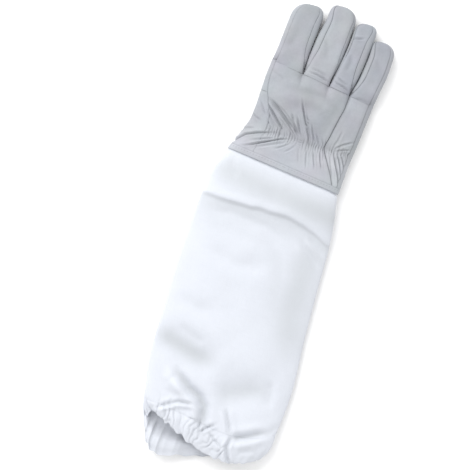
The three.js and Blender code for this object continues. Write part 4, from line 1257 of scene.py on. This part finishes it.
@dataclass(frozen=True)
class CottonFinish:
    """Bleached plain-weave cotton: threads over and under each other, with thick and thin places.

    Thread and depth are metres. Broad and fine are scales of noise.
    """

    name: str
    colour: tuple[float, float, float]
    painted_shade_colour: tuple[float, float, float] = (0.36, 0.382, 0.385)
    painted_shade_strength: float = 0.5
    thread: float = 0.00062
    depth: float = 0.00012
    broad: float = 28.0
    fine: float = 260.0
    uneven: float = 0.012

    def make(self, effects: Effects) -> bpy.types.Material:
        """Builds the material."""
        made, graph = new_material(self.name)
        cloth = graph.add("ShaderNodeUVMap", uv_map="cloth").outputs["UV"]
        both = graph.add("ShaderNodeSeparateXYZ", {0: cloth})
        cells, waves = [], []
        for axis in ("X", "Y"):
            count = graph.math("DIVIDE", both.outputs[axis], self.thread)
            cells.append(graph.math("FLOOR", count))
            waves.append(graph.math("SINE", graph.math("MULTIPLY", graph.math("FRACT", count), HALF_TURN)))
        over = graph.math("FLOORED_MODULO", graph.math("ADD", *cells), 2.0)
        weave = graph.add("ShaderNodeMix", {"Factor": over, "A": waves[0], "B": waves[1]}, data_type="FLOAT")
        slubs = []
        for stretch in ((1500.0, 90.0, 1.0), (90.0, 1500.0, 1.0)):
            stretched = graph.vector("MULTIPLY", {0: cloth, 1: stretch})
            slubs.append(graph.noise(stretched, 1.0, 1.0))
        slub = graph.math("ADD", *slubs)
        height = graph.math("ADD", weave.outputs["Result"], slub)
        mottle = graph.add("ShaderNodeGroup", {
            "Color": (*self.colour, 1), "Broad": self.broad, "Fine": self.fine, "Amount": self.uneven},
            node_tree=effects.mottle)
        tone = graph.remap(slub, 0.7, 1.3, 0.975, 1.015)
        shade = graph.add("ShaderNodeGroup", {
            "Color": graph.vector("SCALE", {0: mottle.outputs["Color"], "Scale": tone}),
            "Painted shade": (*self.painted_shade_colour, 1), "Strength": self.painted_shade_strength}, node_tree=effects.seam_shade)
        bump = graph.add("ShaderNodeBump", {"Strength": 0.5, "Distance": self.depth, "Height": height})
        rough = graph.spread(mottle.outputs["Value"], 0.88, 0.94)
        shader = graph.add("ShaderNodeBsdfPrincipled", {
            "Base Color": shade.outputs["Color"], "Roughness": rough, "Normal": bump.outputs["Normal"],
            "Specular IOR Level": 0.2, "Sheen Weight": 0.25, "Sheen Roughness": 0.6})
        graph.add("ShaderNodeOutputMaterial", {"Surface": shader.outputs["BSDF"]})
        return made


@dataclass(frozen=True)
class Wardrobe:
    """The glove's finishes: three hides a shade apart, the sleeve's cotton and the sewing thread."""

    warm: bpy.types.Material
    plain: bpy.types.Material
    cool: bpy.types.Material
    cotton: bpy.types.Material
    thread: bpy.types.Material


def make_wardrobe() -> Wardrobe:
    """Builds every finish once."""
    effects = Effects()
    return Wardrobe(
        warm=LeatherFinish("goatskin_warm", (0.383, 0.4, 0.432)).make(effects),
        plain=LeatherFinish("goatskin", (0.355, 0.37, 0.40)).make(effects),
        cool=LeatherFinish("goatskin_cool", (0.348, 0.364, 0.402)).make(effects),
        cotton=CottonFinish("bleached_cotton", (0.63, 0.655, 0.71)).make(effects),
        thread=CottonFinish("sewing_thread", (0.56, 0.58, 0.62), thread=0.0004, depth=0.00008).make(effects),
    )


def dress(made: bpy.types.Object, slot: str, *nodes: str) -> bpy.types.Object:
    """Hangs a piece on the glove and hides the solids that it stands for."""
    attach(made, "root")
    if nodes:
        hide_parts(*nodes)
    return made


def leather(name: str, node: str, grids: list[Grid], place: Placement,
            hide: bpy.types.Material) -> bpy.types.Object:
    """Sews one piece of leather and hangs it on the glove in place of a solid."""
    return dress(sew(name, grids, place, hide), "leather", node)


def gusset_roll(along: Array) -> Roll:
    """The seam beside the ball of the thumb, by the share of the hand: it fades out below the elastic."""
    shown = ease(0.3, 0.4, along)
    return Roll(0.3 + 0.3 * shown, 0.03 + 0.25 * shown)


@dataclass
class BackOfHand:
    """The leather on the back: hand panel, side panel, finger backs and the fourchettes between them.

    Step is the millimetres between two rows. At a fork a fourchette stands upright between its low and high
    shares of the finger's height.
    """

    form: HandForm
    relief: LeatherRelief
    place: Placement
    wardrobe: Wardrobe
    step: float = 0.6
    seam_roll: float = 1.2
    tip_darkening: float = 0.3
    strip_low: float = 0.36
    strip_high: float = 0.66
    root_shares: tuple[tuple[float, float], ...] = ((0.0, 0.36), (0.36, 0.7), (0.7, 0.97), (0.97, 1.3))

    def base_roll(self, columns: Array, start: float, end: float) -> Roll:
        """The seam across the knuckles: faint by the index finger and deep at the middle and ring fingers.

        Args:
            columns: Shares across a panel.
            start: Share of the hand's back where the panel begins.
            end: Share of the hand's back where it ends.

        Returns:
            The turned-in edge, with one value a column.
        """
        place = lerp(start, end, columns)
        depth = np.interp(place, (0.0, 0.3, 0.4, 0.6, 0.64, 0.7, 0.74, 0.92, 1.0),
                          (0.0, 0.0, 0.8, 1.0, 0.35, 0.35, 1.0, 0.8, 0.3))
        return Roll(0.05 + 0.6 * depth, 0.4 * depth)

    def back_panel(self) -> bpy.types.Object:
        """The hand panel, from the hem to the seam across the knuckles."""
        form = self.form

        def surface(s: Array, t: Array, inset: Array) -> Array:
            """Angles from the gusset seam to the side seam on rows from the hem to the knuckles."""
            along = lerp(PANEL_START, BASE_SEAM - KNUCKLE_GAP, s)
            left = form.angle(along, form.seam(along, BackSeam.GUSSET) + SEAM_GAP / 2)
            right = form.angle(along, form.span(along) - form.seam(along, BackSeam.SIDE) - SEAM_GAP / 2)
            return form.point(along, lerp(left, right, t), inset)

        columns = crowded(84, self.step)
        rows = crowded(92, self.step)
        rolls = {Side.START: Roll(0.2, 0.06), Side.END: self.base_roll(columns, 0.0, 1.0),
                 Side.LEFT: gusset_roll(PANEL_START + rows[:, None]), Side.RIGHT: Roll(self.seam_roll, 1.0)}
        panel = Panel(surface, rows, columns, LEATHER_WALL, rolls, self.relief)
        return leather("hand_back_leather", "back_panel", [panel.grid()], self.place, self.wardrobe.plain)

    def side_panel(self) -> bpy.types.Object:
        """The strip of leather along the little finger's side of the hand."""
        form = self.form

        def surface(s: Array, t: Array, inset: Array) -> Array:
            """Angles from the side seam to the palm's wrapped edge."""
            along = lerp(PANEL_START, BASE_SEAM - KNUCKLE_GAP, s)
            left = form.angle(along, form.span(along) - form.seam(along, BackSeam.SIDE) + SEAM_GAP / 2)
            right = form.angle(along, form.span(along) - EDGE_WRAP - SEAM_GAP / 2)
            return form.point(along, lerp(left, right, t), inset)

        rolls = {Side.START: Roll(0.2, 0.06), Side.END: Roll(0.35, 0.1), Side.LEFT: Roll(self.seam_roll, 1.0),
                 Side.RIGHT: Roll(0.8, 0.4)}
        rows, columns = crowded(92, self.step), crowded(24, self.step)
        panel = Panel(surface, rows, columns, LEATHER_WALL, rolls, self.relief)
        return leather("hand_side_leather", "side_panel", [panel.grid()], self.place, self.wardrobe.warm)

    def finger_rows(self, finger: Finger, step: float, start: bool) -> Array:
        """Shares along a finger, by equal turns of the rounded tip's quarter circle."""
        rows = crowded(finger.length, step, start, False)
        begin = 1 - finger.cap
        turn = np.clip((rows - begin) / finger.cap, 0, 1) * QUARTER_TURN
        return np.where(rows > begin, begin + finger.cap * np.sin(turn) ** (2 / TIP_SQUARE), rows)

    def finger_back(self, index: int) -> bpy.types.Object:
        """The back of one finger, from the seam across the knuckles to the tip."""
        form, finger = self.form, self.form.fingers[index]
        is_first, is_last = index == 0, index == len(form.fingers) - 1
        wrap = angle_at(np.array(1 - 2 * EDGE_WRAP / finger.width), FINGER_SQUARE)
        one, turn = np.array(1.0), SEAM_GAP / finger.width
        reach_left = form.shares[index] * form.width + (form.seam(one, BackSeam.GUSSET) if is_first else 0)
        reach_right = form.shares[index + 1] * form.width - (EDGE_WRAP if is_last else 0)
        root_left = form.angle(one, reach_left + SEAM_GAP / 2)
        root_right = form.angle(one, reach_right - SEAM_GAP / 2)

        def surface(s: Array, t: Array, inset: Array) -> Array:
            """Angles between the finger's two seams, blended at the root into the hand's section."""
            right = (wrap if is_last else form.strip_angle(index, s, True)) + turn
            left = HALF_TURN - (wrap if is_first else form.strip_angle(index, s, False)) - turn
            on_hand = form.point(BASE_SEAM + KNUCKLE_GAP + 0 * s, lerp(root_left, root_right, t), inset)
            on_finger = form.finger_point(index, s, lerp(left, right, t), inset)
            return lerp(on_hand, on_finger, ease(0, form.root_blend, s)[..., None])

        columns, rows = crowded(1.2 * finger.width, self.step), self.finger_rows(finger, self.step, True)
        base = Roll(0.35, 0.1) if is_last else self.base_roll(columns, *self.root_shares[index])
        rolls = {Side.START: base, Side.LEFT: Roll(0.15, 0.0) if is_first else Roll(0.7, 0.38),
                 Side.RIGHT: Roll(0.5, 0.2) if is_last else Roll(0.7, 0.38)}
        # darker towards the fingertips
        darkening = self.tip_darkening * ease(1 - 1.6 * finger.cap, 1, rows)[:, None]
        panel = Panel(surface, rows, columns, LEATHER_WALL, rolls, self.relief, darkening=darkening)
        hide = (self.wardrobe.plain, self.wardrobe.warm, self.wardrobe.cool, self.wardrobe.cool)[index]
        name = finger.name
        return leather(f"{name}_finger_back", f"{name}_back", [panel.grid()], self.place, hide)

    def fourchette(self, index: int) -> bpy.types.Object:
        """The strip down one finger's side, round the fork and up the next finger's side."""
        form = self.form
        fork = form.forks[index + 1]
        near, far = form.fingers[index], form.fingers[index + 1]
        low, high = self.strip_low * FINGER_HEIGHT, self.strip_high * FINGER_HEIGHT

        def surface(s: Array, t: Array, inset: Array) -> Array:
            """Angles from below the side to the seam above it; both sides meet upright at the fork."""
            along, gap = np.abs(2 * s - 1), SEAM_GAP / near.width
            near_turn = lerp(-FRONT_SEAM, form.strip_angle(index, along, True) - gap, t)
            top = HALF_TURN - form.strip_angle(index + 1, along, False) + gap
            side_near = form.finger_point(index, along, near_turn, inset)
            side_far = form.finger_point(index + 1, along, lerp(HALF_TURN + FRONT_SEAM, top, t), inset)
            side = np.where((s < 0.5)[..., None], side_near, side_far)
            tall = lerp(low, high, t)
            crotch = np.stack(np.broadcast_arrays(fork[0], fork[1] + WEB_DEPTH - inset, tall), -1)
            side[..., 2] = lerp(tall, side[..., 2], ease(0, form.root_blend, along))
            return lerp(crotch, side, ease(0, 0.06, along)[..., None])

        up, down = self.finger_rows(far, 1.0, False), self.finger_rows(near, 1.0, False)
        rows = np.concatenate([(1 - down[::-1]) / 2, (1 + up[1:]) / 2])
        rolls = {Side.LEFT: Roll(0.6), Side.RIGHT: Roll(0.6, 0.3)}
        panel = Panel(surface, rows, crowded(13, 0.9), LEATHER_WALL, rolls, swell=0.1)
        name = f"fourchette_{near.name}_{far.name}"
        return leather(f"{name}_leather", name, [panel.grid()], self.place, self.wardrobe.plain)

    def build(self) -> list[bpy.types.Object]:
        """Makes every piece of the back."""
        count = len(self.form.fingers)
        return [self.back_panel(), self.side_panel(), *(self.finger_back(index) for index in range(count)),
                *(self.fourchette(index) for index in range(count - 1))]


@dataclass
class PalmSide:
    """The palm and the fingers' fronts in one piece, whose edges wrap round on to the back."""

    form: HandForm
    back: BackOfHand
    relief: LeatherRelief
    front_columns: int = 42
    crotch_column: int = 28
    relief_weight: float = 0.5

    def columns(self) -> Array:
        """Shares of the palm's turn, with as many columns for each finger's front."""
        stops = self.form.palm_stops
        parts = [np.linspace(start, end, self.front_columns + 1)[:-1] for start, end in zip(stops, stops[1:])]
        return np.concatenate([*parts, stops[-1:]])

    def panel(self, surface: Surface, rows: Array, columns: Array, rolls: dict[Side, Roll]) -> Grid:
        """One part of the palm, with half of the leather's relief."""
        return Panel(surface, rows, columns, LEATHER_WALL, rolls, self.relief, self.relief_weight).grid()

    def upper(self) -> Grid:
        """The palm from the thumb's crotch to the knuckles."""
        form, columns = self.form, self.columns()
        crotch = columns[self.crotch_column]

        def surface(s: Array, t: Array, inset: Array) -> Array:
            """Angles from one wrapped edge, under the hand, to the other."""
            along = lerp(CROTCH_SHARE, 1.0, s)
            return form.point(along, lerp(form.palm_left(along), form.palm_right(along), t), inset, 1.0)

        beside_thumb = 1 - ease(crotch - 0.02, crotch, columns)
        rolls = {Side.LEFT: Roll(0.4, 0.12), Side.RIGHT: Roll(0.8, 0.4),
                 Side.START: Roll(0.5 * beside_thumb, 0.12 * beside_thumb)}
        return self.panel(surface, crowded(35, 1.1, True, False), columns, rolls)

    def lower(self) -> Grid:
        """The palm below the crotch, from the line that the thumb is folded over to the far edge."""
        form, columns = self.form, self.columns()[self.crotch_column:]
        crotch = columns[0]

        def surface(s: Array, t: Array, inset: Array) -> Array:
            """Angles from the fold line to the wrapped edge."""
            along = lerp(PANEL_START, CROTCH_SHARE, s)
            share = (t - crotch) / (1 - crotch)
            return form.point(along, lerp(form.fold_angle(along), form.palm_right(along), share), inset, 1.0)

        rows = crowded(61, 1.3, True, False)
        below_crotch = (1 - ease(0.9, 1, rows))[:, None]
        rolls = {Side.LEFT: Roll(below_crotch, 0.6 * below_crotch), Side.RIGHT: Roll(0.8, 0.4),
                 Side.START: Roll(0.2, 0.06)}
        return self.panel(surface, rows, columns, rolls)

    def front(self, index: int) -> Grid:
        """The front of one finger, from the palm's last row to the tip."""
        form, finger = self.form, self.form.fingers[index]
        stops, one = form.palm_stops, np.array(1.0)
        is_first, is_last = index == 0, index == len(form.fingers) - 1
        wrap = angle_at(np.array(1 - 2 * EDGE_WRAP / finger.width), FINGER_SQUARE) - SEAM_GAP / finger.width
        below = FRONT_SEAM + SEAM_GAP / finger.width
        start = HALF_TURN + (-wrap if is_first else below)
        end = FULL_TURN + (wrap if is_last else -below)

        def surface(s: Array, t: Array, inset: Array) -> Array:
            """Angles under the finger between its seams, blended at the root from the hand's section."""
            turn = lerp(form.palm_left(one), form.palm_right(one), lerp(stops[index], stops[index + 1], t))
            on_hand = form.point(one + 0 * s, turn, inset, 1.0)
            on_finger = form.finger_point(index, s, lerp(start, end, t), inset)
            return lerp(on_hand, on_finger, ease(0, form.root_blend, s)[..., None])

        rows = self.back.finger_rows(finger, 1.1, False)
        opened = ease(0, 0.08, rows)[:, None]
        left = right = Roll(opened, 0.6 * opened)
        if is_first:
            left = Roll(0.4 - 0.25 * opened, 0.12 - 0.12 * opened)
        if is_last:
            right = Roll(0.8 - 0.2 * opened, 0.4 - 0.2 * opened)
        columns = np.linspace(0, 1, self.front_columns + 1)
        return self.panel(surface, rows, columns, {Side.LEFT: left, Side.RIGHT: right})

    def build(self) -> bpy.types.Object:
        """Makes the palm with the four fronts as one piece."""
        grids = [self.upper(), self.lower(), *(self.front(index) for index in range(len(self.form.fingers)))]
        return leather("palm_leather", "palm_panel", grids, self.back.place, self.back.wardrobe.plain)


@dataclass
class Thumb:
    """The thumb, folded flat under the palm: its front with the ball of the thumb, and its back."""

    form: HandForm
    relief: LeatherRelief
    place: Placement
    wardrobe: Wardrobe
    wrap_share: float = 0.5
    seam_edge: float = field(init=False)

    def __post_init__(self) -> None:
        """Works out the share of the thumb's width from its seams to the middle of their gap."""
        self.seam_edge = 0.5 / self.form.thumb_width

    def front(self) -> bpy.types.Object:
        """From the gusset seam on the back, round the hand's edge and the fold line, to the thumb's tip."""
        form, seam_edge = self.form, self.seam_edge

        def surface(s: Array, t: Array, inset: Array) -> Array:
            """The hand's sections down to the fold line, then the thumb's rows, blended where they meet."""
            along = lerp(CROTCH_SHARE - GAP_SHARE, PANEL_START, t)
            wrap = np.clip(s / self.wrap_share, 0, 1)
            start = form.angle(along, form.seam(along, BackSeam.GUSSET) - SEAM_GAP / 2)
            near = ease(CROTCH_SHARE - 0.16, CROTCH_SHARE, along) * lerp(1, 0.4, ease(0.5, 1, wrap))
            turn = lerp(start, form.fold_angle(along) - 1 / form.width, wrap)
            on_hand = form.point(along, turn, inset, near)
            run = np.clip((s - self.wrap_share) / (1 - self.wrap_share), 0, 1)
            on_thumb = form.thumb_point(run, lerp(seam_edge, 1 - seam_edge, t), inset, False)
            return lerp(on_hand, on_thumb, ease(0, 0.12, run)[..., None])

        rows = np.concatenate([crowded(60, 0.7, True, False) * self.wrap_share,
                               lerp(self.wrap_share, 1, np.linspace(0, 1, 56)[1:])])
        columns = crowded(60, 0.7)
        gusset = gusset_roll(lerp(CROTCH_SHARE, PANEL_START, columns))
        rolls = {Side.START: gusset, Side.LEFT: Roll(0.45, 0.16), Side.RIGHT: Roll(0.2, 0.06)}
        folded = lerp(1.0, 0.1, ease(0.14, 0.3, rows))[:, None]
        panel = Panel(surface, rows, columns, LEATHER_WALL, rolls, self.relief, folded)
        return leather("thumb_front_leather", "thumb_front", [panel.grid()], self.place, self.wardrobe.plain)

    def back(self) -> bpy.types.Object:
        """The side of the thumb that lies against the palm."""
        form, seam_edge = self.form, self.seam_edge

        def surface(s: Array, t: Array, inset: Array) -> Array:
            """The thumb's rows from the fold line to the tip."""
            run = lerp(0.5 / form.thumb_length, 1, s)
            return form.thumb_point(run, lerp(seam_edge, 1 - seam_edge, t), inset, True)

        rolls = {Side.LEFT: Roll(1.0), Side.RIGHT: Roll(1.0)}
        panel = Panel(surface, np.linspace(0, 1, 50), crowded(34, 1.0), LEATHER_WALL, rolls)
        return leather("thumb_back_leather", "thumb_back", [panel.grid()], self.place, self.wardrobe.plain)

    def build(self) -> list[bpy.types.Object]:
        """Makes both sides of the thumb."""
        return [self.front(), self.back()]


def along_line(stops: Array, lengths: Array, values: Array) -> Array:
    """Values of three columns at stops along a line, straight between its points."""
    return np.stack([np.interp(stops, lengths, values[:, axis]) for axis in range(3)], -1)


def unit(vectors: Array) -> Array:
    """Vectors at length one, or zero where they have no length."""
    return vectors / np.maximum(np.linalg.norm(vectors, axis=1, keepdims=True), 1e-9)


@dataclass(frozen=True)
class StitchRow:
    """A row of lockstitches: short thread beads laid end to end along a line, where it is clear of the floor.

    Pitch, length, thickness and sink are millimetres. A bead's rings lie at the stations, shares of its
    length, and their girths and droops are shares of the thread's radius.
    """

    pitch: float = 3.3
    length: float = 2.5
    thickness: float = 0.42
    sink: float = 0.12
    sides: int = 6
    stations: tuple[float, ...] = (-0.5, -0.42, -0.2, 0.2, 0.42, 0.5)
    girths: tuple[float, ...] = (0.0, 0.62, 1.0, 1.0, 0.62, 0.0)
    droops: tuple[float, ...] = (-1.0, -0.5, 0.0, 0.0, -0.5, -1.0)

    def run(self, line: Array) -> tuple[Array, int]:
        """Length along a line up to each of its points, and the count of stitches on it."""
        lengths = np.concatenate([[0], np.cumsum(np.linalg.norm(np.diff(line, axis=0), axis=1))])
        return lengths, int(lengths[-1] / self.pitch)

    def pits(self, line: Array) -> Array:
        """One where the thread goes down between stitches and zero on them: a cosine's fourth power."""
        lengths, count = self.run(line)
        return np.cos(HALF_TURN * count * lengths / lengths[-1]) ** 4

    def bead(self) -> tuple[Array, Array, Array, Array]:
        """One bead: its points' places forward, sideways and up, and its faces by their points' numbers."""
        radius = self.thickness / 2
        turns = np.arange(self.sides) / self.sides * FULL_TURN
        girths = np.array(self.girths) * radius
        forward = np.repeat(np.array(self.stations) * self.length, self.sides)
        sideways = np.outer(girths, np.cos(turns)).ravel()
        droop = np.repeat(np.array(self.droops) * radius, self.sides)
        up = np.outer(girths, np.sin(turns)).ravel() + droop - self.sink
        ring, column = np.meshgrid(np.arange(len(girths) - 1), np.arange(self.sides), indexing="ij")
        near, after = ring * self.sides, (column + 1) % self.sides
        far = near + self.sides
        faces = np.stack([near + column, near + after, far + after, far + column], -1).reshape(-1, 4)
        return forward, sideways, up, faces

    def build(self, name: str, line: Array, outward: Array, place: Placement,
              material: bpy.types.Material) -> bpy.types.Object:
        """Makes the row as one mesh: each bead is a six-sided spindle carried to its place along the line.

        Args:
            name: The object's name.
            line: Points along the line.
            outward: Direction away from the cloth at each point.
            place: Where the glove lies in the CAD's frame.
            material: The thread's finish.

        Returns:
            The row of stitches.
        """
        lengths, count = self.run(line)
        stops = (np.arange(count) + 0.5) * lengths[-1] / count
        stops = stops[np.interp(stops, lengths, line[:, 2]) > 2 * self.thickness]
        at = along_line(stops, lengths, line)
        ahead = unit(along_line(stops + 0.5, lengths, line) - along_line(stops - 0.5, lengths, line))
        up = along_line(stops, lengths, outward)
        up = unit(up - ahead * np.sum(up * ahead, axis=1, keepdims=True))
        side = np.cross(ahead, up)
        u, v, w, faces = self.bead()
        beads = (at[:, None] + ahead[:, None] * u[:, None] + side[:, None] * v[:, None]
                 + up[:, None] * w[:, None])
        faces = (faces[None] + (np.arange(len(stops)) * len(u))[:, None, None]).reshape(-1, 4)
        points = place.metres(beads.reshape(-1, 3))
        sizes, corners = np.full(len(faces), 4), faces.ravel()
        if volume(points, corners, sizes) < 0:
            corners = faces[:, ::-1].ravel()
        made = make_object(name, points, corners, sizes, np.ones(len(faces), bool), material)
        merge_poles(made)
        LOG.info("%s: %d stitches", name, len(stops))
        return made


def merge_poles(made: bpy.types.Object) -> None:
    """Merges the points of each spindle's closed ends."""
    work = bmesh.new()
    work.from_mesh(made.data)
    bmesh.ops.remove_doubles(work, verts=work.verts, dist=1e-7)
    work.to_mesh(made.data)
    work.free()


@dataclass
class WristHem:
    """The leather's folded hem, a ring sewn down over the sleeve's end."""

    form: HandForm
    relief: LeatherRelief
    place: Placement
    wardrobe: Wardrobe
    columns: int = 601
    relief_weight: float = 0.6
    stitch_share: float = 0.66
    pit_shade: float = 0.75
    stitches: StitchRow = StitchRow()

    def surface(self, s: Array, t: Array, inset: Array) -> Array:
        """The hand's sections from the edge to the top of the hem."""
        return self.form.point(HEM_SHARE * s, FULL_TURN * t, inset)

    def build(self) -> list[bpy.types.Object]:
        """Makes the hem and its stitches."""
        rows, turn = crowded(HEM_WIDTH, 0.5), np.linspace(0, 1, self.columns)
        share = np.full(self.columns, self.stitch_share)
        flat = self.surface(share, turn, np.zeros(self.columns))
        # painted shade in the stitch pits beside the row
        beside = hump((rows[:, None] - self.stitch_share) * HEM_WIDTH, 0.45)
        rolls = {Side.START: Roll(0.8, 0.1), Side.END: Roll(0.2, 0.04)}
        panel = Panel(self.surface, rows, turn, HEM_WALL, rolls, self.relief, self.relief_weight,
                      darkening=self.pit_shade * beside * self.stitches.pits(flat), closed=True)
        hem = leather("hem_leather", "leather_hem", [panel.grid()], self.place, self.wardrobe.plain)
        lift = self.relief_weight * self.relief(flat[:, 0], flat[:, 1])
        line = self.surface(share, turn, -lift)
        outward = line - self.surface(share, turn, 1 - lift)
        row = self.stitches.build("hem_stitches", line, outward, self.place, self.wardrobe.thread)
        return [hem, dress(row, "cotton")]


def on_top(count: int) -> Array:
    """One for the columns of a ring that lie on top and zero for those underneath."""
    return (np.sin(FULL_TURN * np.linspace(0, 1, count)) > 0).astype(float)


@dataclass
class Gauntlet:
    """The white cotton sleeve and the gathered casing at its arm end.

    The lap rows are the first rows of the sleeve, crowded where it comes out of the hem. Seam and edge share
    are where the two rows of stitches run on the sleeve and on the casing.
    """

    form: SleeveForm
    relief: CottonRelief
    place: Placement
    wardrobe: Wardrobe
    cut_width: float = 340.0
    cut_length: float = 305.0
    sleeve_columns: int = 241
    casing_columns: int = 521
    stitch_columns: int = 901
    lap_rows: tuple[float, ...] = (0, 0.006, 0.012, 0.017, 0.022, 0.028)
    seam_share: float = 0.991
    edge_share: float = 0.84
    pleats: int = 24
    pleat_depth: float = 1.7
    lower_pleat_depth: float = 2.9
    casing_puff: float = 1.6
    edge_wave: float = 0.006
    shade_weight: float = 1.0
    stitches: StitchRow = StitchRow(pitch=3.0, length=2.2, thickness=0.34)

    def sleeve_surface(self, s: Array, t: Array, inset: Array) -> Array:
        """Rings from the lap inside the hem to the casing's seam."""
        angle = FULL_TURN * t
        end = self.form.casing_start(angle) - 0.5 * SEAM_GAP / self.form.length
        return self.form.point(lerp(-self.form.lap / self.form.length, end, s), angle, inset, self.relief)

    def pleat(self, angle: Array, share: Array) -> tuple[Array, Array]:
        """Depth of the gathers and the wave of the edge: two uneven waves round it, deepest at the end."""
        phase = self.pleats * angle + 1.5 * np.sin(3 * angle + 1) + 1.1 * np.sin(7 * angle + 2)
        second = 41 * angle + 1.3 * np.sin(5 * angle)
        strong = 0.3 + 0.7 * (hump(angle - 2.0, 0.75) + hump(angle - (FULL_TURN - 2.0), 0.75))
        wave = (1 - np.abs(np.cos(phase / 2))) * 0.75 + (1 - np.abs(np.cos(second / 2))) * 0.35
        edge = strong * (0.6 * np.cos(phase) + 0.5 * np.cos(second))
        depth = np.where(angle > HALF_TURN, self.lower_pleat_depth, self.pleat_depth)
        return depth * strong * wave * ease(0, 0.6, share), edge

    def casing_surface(self, s: Array, t: Array, inset: Array) -> Array:
        """Rings from the casing's seam to the mouth, drawn in by the gathers."""
        angle = FULL_TURN * t
        depth, wave = self.pleat(angle, s)
        along = lerp(self.form.casing_start(angle), 1 + self.edge_wave * wave, s)
        puff = self.casing_puff * np.sin(HALF_TURN * s) * (np.sin(angle) > 0)
        return self.form.point(along, angle, inset + depth - puff, self.relief)

    def stitch_row(self, name: str, surface: Surface, share: float) -> bpy.types.Object:
        """Stitches round a surface at a share of its length."""
        turn, place = np.linspace(0, 1, self.stitch_columns), np.full(self.stitch_columns, share)
        line = surface(place, turn, np.zeros(self.stitch_columns))
        outward = line - surface(place, turn, np.ones(self.stitch_columns))
        return dress(self.stitches.build(name, line, outward, self.place, self.wardrobe.thread), "cotton")

    def panel(self, surface: Surface, rows: Array, columns: int, rolls: dict[Side, Roll],
              pucker: float) -> Grid:
        """A closed ring of cotton, whose surface follows the relief by itself and takes its painted shade on
        top.
        """
        return Panel(surface, rows, np.linspace(0, 1, columns), COTTON_WALL, rolls, self.relief, 0.0,
                     self.shade_weight, on_top(columns), swell=0.25, pucker=pucker, closed=True).grid()

    def build(self) -> list[bpy.types.Object]:
        cotton, joined = self.wardrobe.cotton, Roll(0.12, 0.0)
        rows = np.concatenate([self.lap_rows, crowded(284, 1.5, False, True)[10:]])
        grid = self.panel(self.sleeve_surface, rows, self.sleeve_columns, {Side.END: joined}, 0.35)
        sleeve = dress(sew("sleeve_cotton", [grid], self.place, cotton), "cotton", "sleeve")
        grid = self.panel(self.casing_surface, crowded(24, 1.0), self.casing_columns,
                          {Side.START: joined, Side.END: Roll(0.8, 0.25)}, 0.5)
        casing = dress(sew("casing_cotton", [grid], self.place, cotton), "cotton", "cuff_casing")
        extras = [casing, self.stitch_row("casing_stitches", self.sleeve_surface, self.seam_share),
                  self.stitch_row("mouth_stitches", self.casing_surface, self.edge_share)]
        return [sleeve, *extras]


@dataclass(frozen=True)
class Studio:
    """Pale floor, soft light from the upper left and a camera straight above the glove."""

    camera_height: float = 1.6
    view_width: float = 0.4935
    sensor: float = 36.0
    aim: tuple[float, float, float] = (-0.029, -0.013, 0.012)
    turn: float = math.radians(15.5)
    sky: float = 1.04
    key_power: float = 23.0
    key_size: float = 1.4
    key_place: tuple[float, float, float] = (-1.0, 0.95, 1.1)

    def floor(self) -> None:
        """A wide sheet of pale paper."""
        half = 4.0
        mesh = bpy.data.meshes.new("floor")
        corners = [(-half, -half, 0), (half, -half, 0), (half, half, 0), (-half, half, 0)]
        mesh.from_pydata(corners, [], [(0, 1, 2, 3)])
        floor = bpy.data.objects.new("floor", mesh)
        bpy.context.scene.collection.objects.link(floor)
        paper = bpy.data.materials.new("floor_paper")
        paper.use_nodes = True
        shader = paper.node_tree.nodes["Principled BSDF"]
        shader.inputs["Base Color"].default_value = (0.95, 0.95, 0.95, 1)
        shader.inputs["Roughness"].default_value = 0.9
        shader.inputs["Specular IOR Level"].default_value = 0.1
        mesh.materials.append(paper)

    def lights(self) -> None:
        """Even white surroundings and one large soft light."""
        world = bpy.data.worlds.new("studio")
        world.use_nodes = True
        surroundings = world.node_tree.nodes["Background"]
        surroundings.inputs["Color"].default_value = WHITE
        surroundings.inputs["Strength"].default_value = self.sky
        bpy.context.scene.world = world
        data = bpy.data.lights.new("key", "AREA")
        data.energy, data.shape, data.size = self.key_power, "SQUARE", self.key_size
        key = bpy.data.objects.new("key", data)
        key.location = self.key_place
        key.rotation_euler = (-Vector(self.key_place)).to_track_quat("-Z", "Y").to_euler()
        bpy.context.scene.collection.objects.link(key)

    def camera(self) -> None:
        """Looks straight down, turned so that the glove leans as in the picture."""
        data = bpy.data.cameras.new("camera")
        data.sensor_width = self.sensor
        data.lens = self.sensor * self.camera_height / self.view_width
        data.clip_end = 50
        camera = bpy.data.objects.new("camera", data)
        camera.location = Vector(self.aim) + Vector((0, 0, self.camera_height))
        camera.rotation_euler = (0, 0, self.turn)
        bpy.context.scene.collection.objects.link(camera)
        bpy.context.scene.camera = camera

    def build(self) -> None:
        """Sets the stage and the plain colour response."""
        self.camera()
        self.floor()
        self.lights()
        bpy.context.scene.view_settings.view_transform = "Standard"


def placement(form: HandForm) -> Placement:
    """Finds the glove in the CAD's frame by the hem: its lowest X and Y end the hand's first row."""
    low = np.array(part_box("leather_hem")[0])[:3] / METRES
    start = form.row(np.array(0.0))
    return Placement(np.array([low[0] - float(start.left_x), low[1] - float(start.right_y), 0.0]))


def main() -> None:
    """Builds the stage and every sub-assembly of the glove in order."""
    logging.basicConfig(level=logging.INFO, format="%(name)s: %(message)s")
    Studio().build()
    form = HandForm()
    place = placement(form)
    LOG.info("offset %s mm", place.offset.round(3))
    origin = (float(place.offset[0]), float(place.offset[1]))
    wardrobe = make_wardrobe()
    leather = LeatherRelief(origin)
    soft = LeatherRelief(origin, (), NO_GATHERS)
    back = BackOfHand(form, leather, place, wardrobe)
    back.build()
    PalmSide(form, back, soft).build()
    Thumb(form, leather, place, wardrobe).build()
    WristHem(form, leather, place, wardrobe).build()
    Gauntlet(SleeveForm(form), CottonRelief(origin), place, wardrobe).build()


if __name__ == "__main__":
    main()
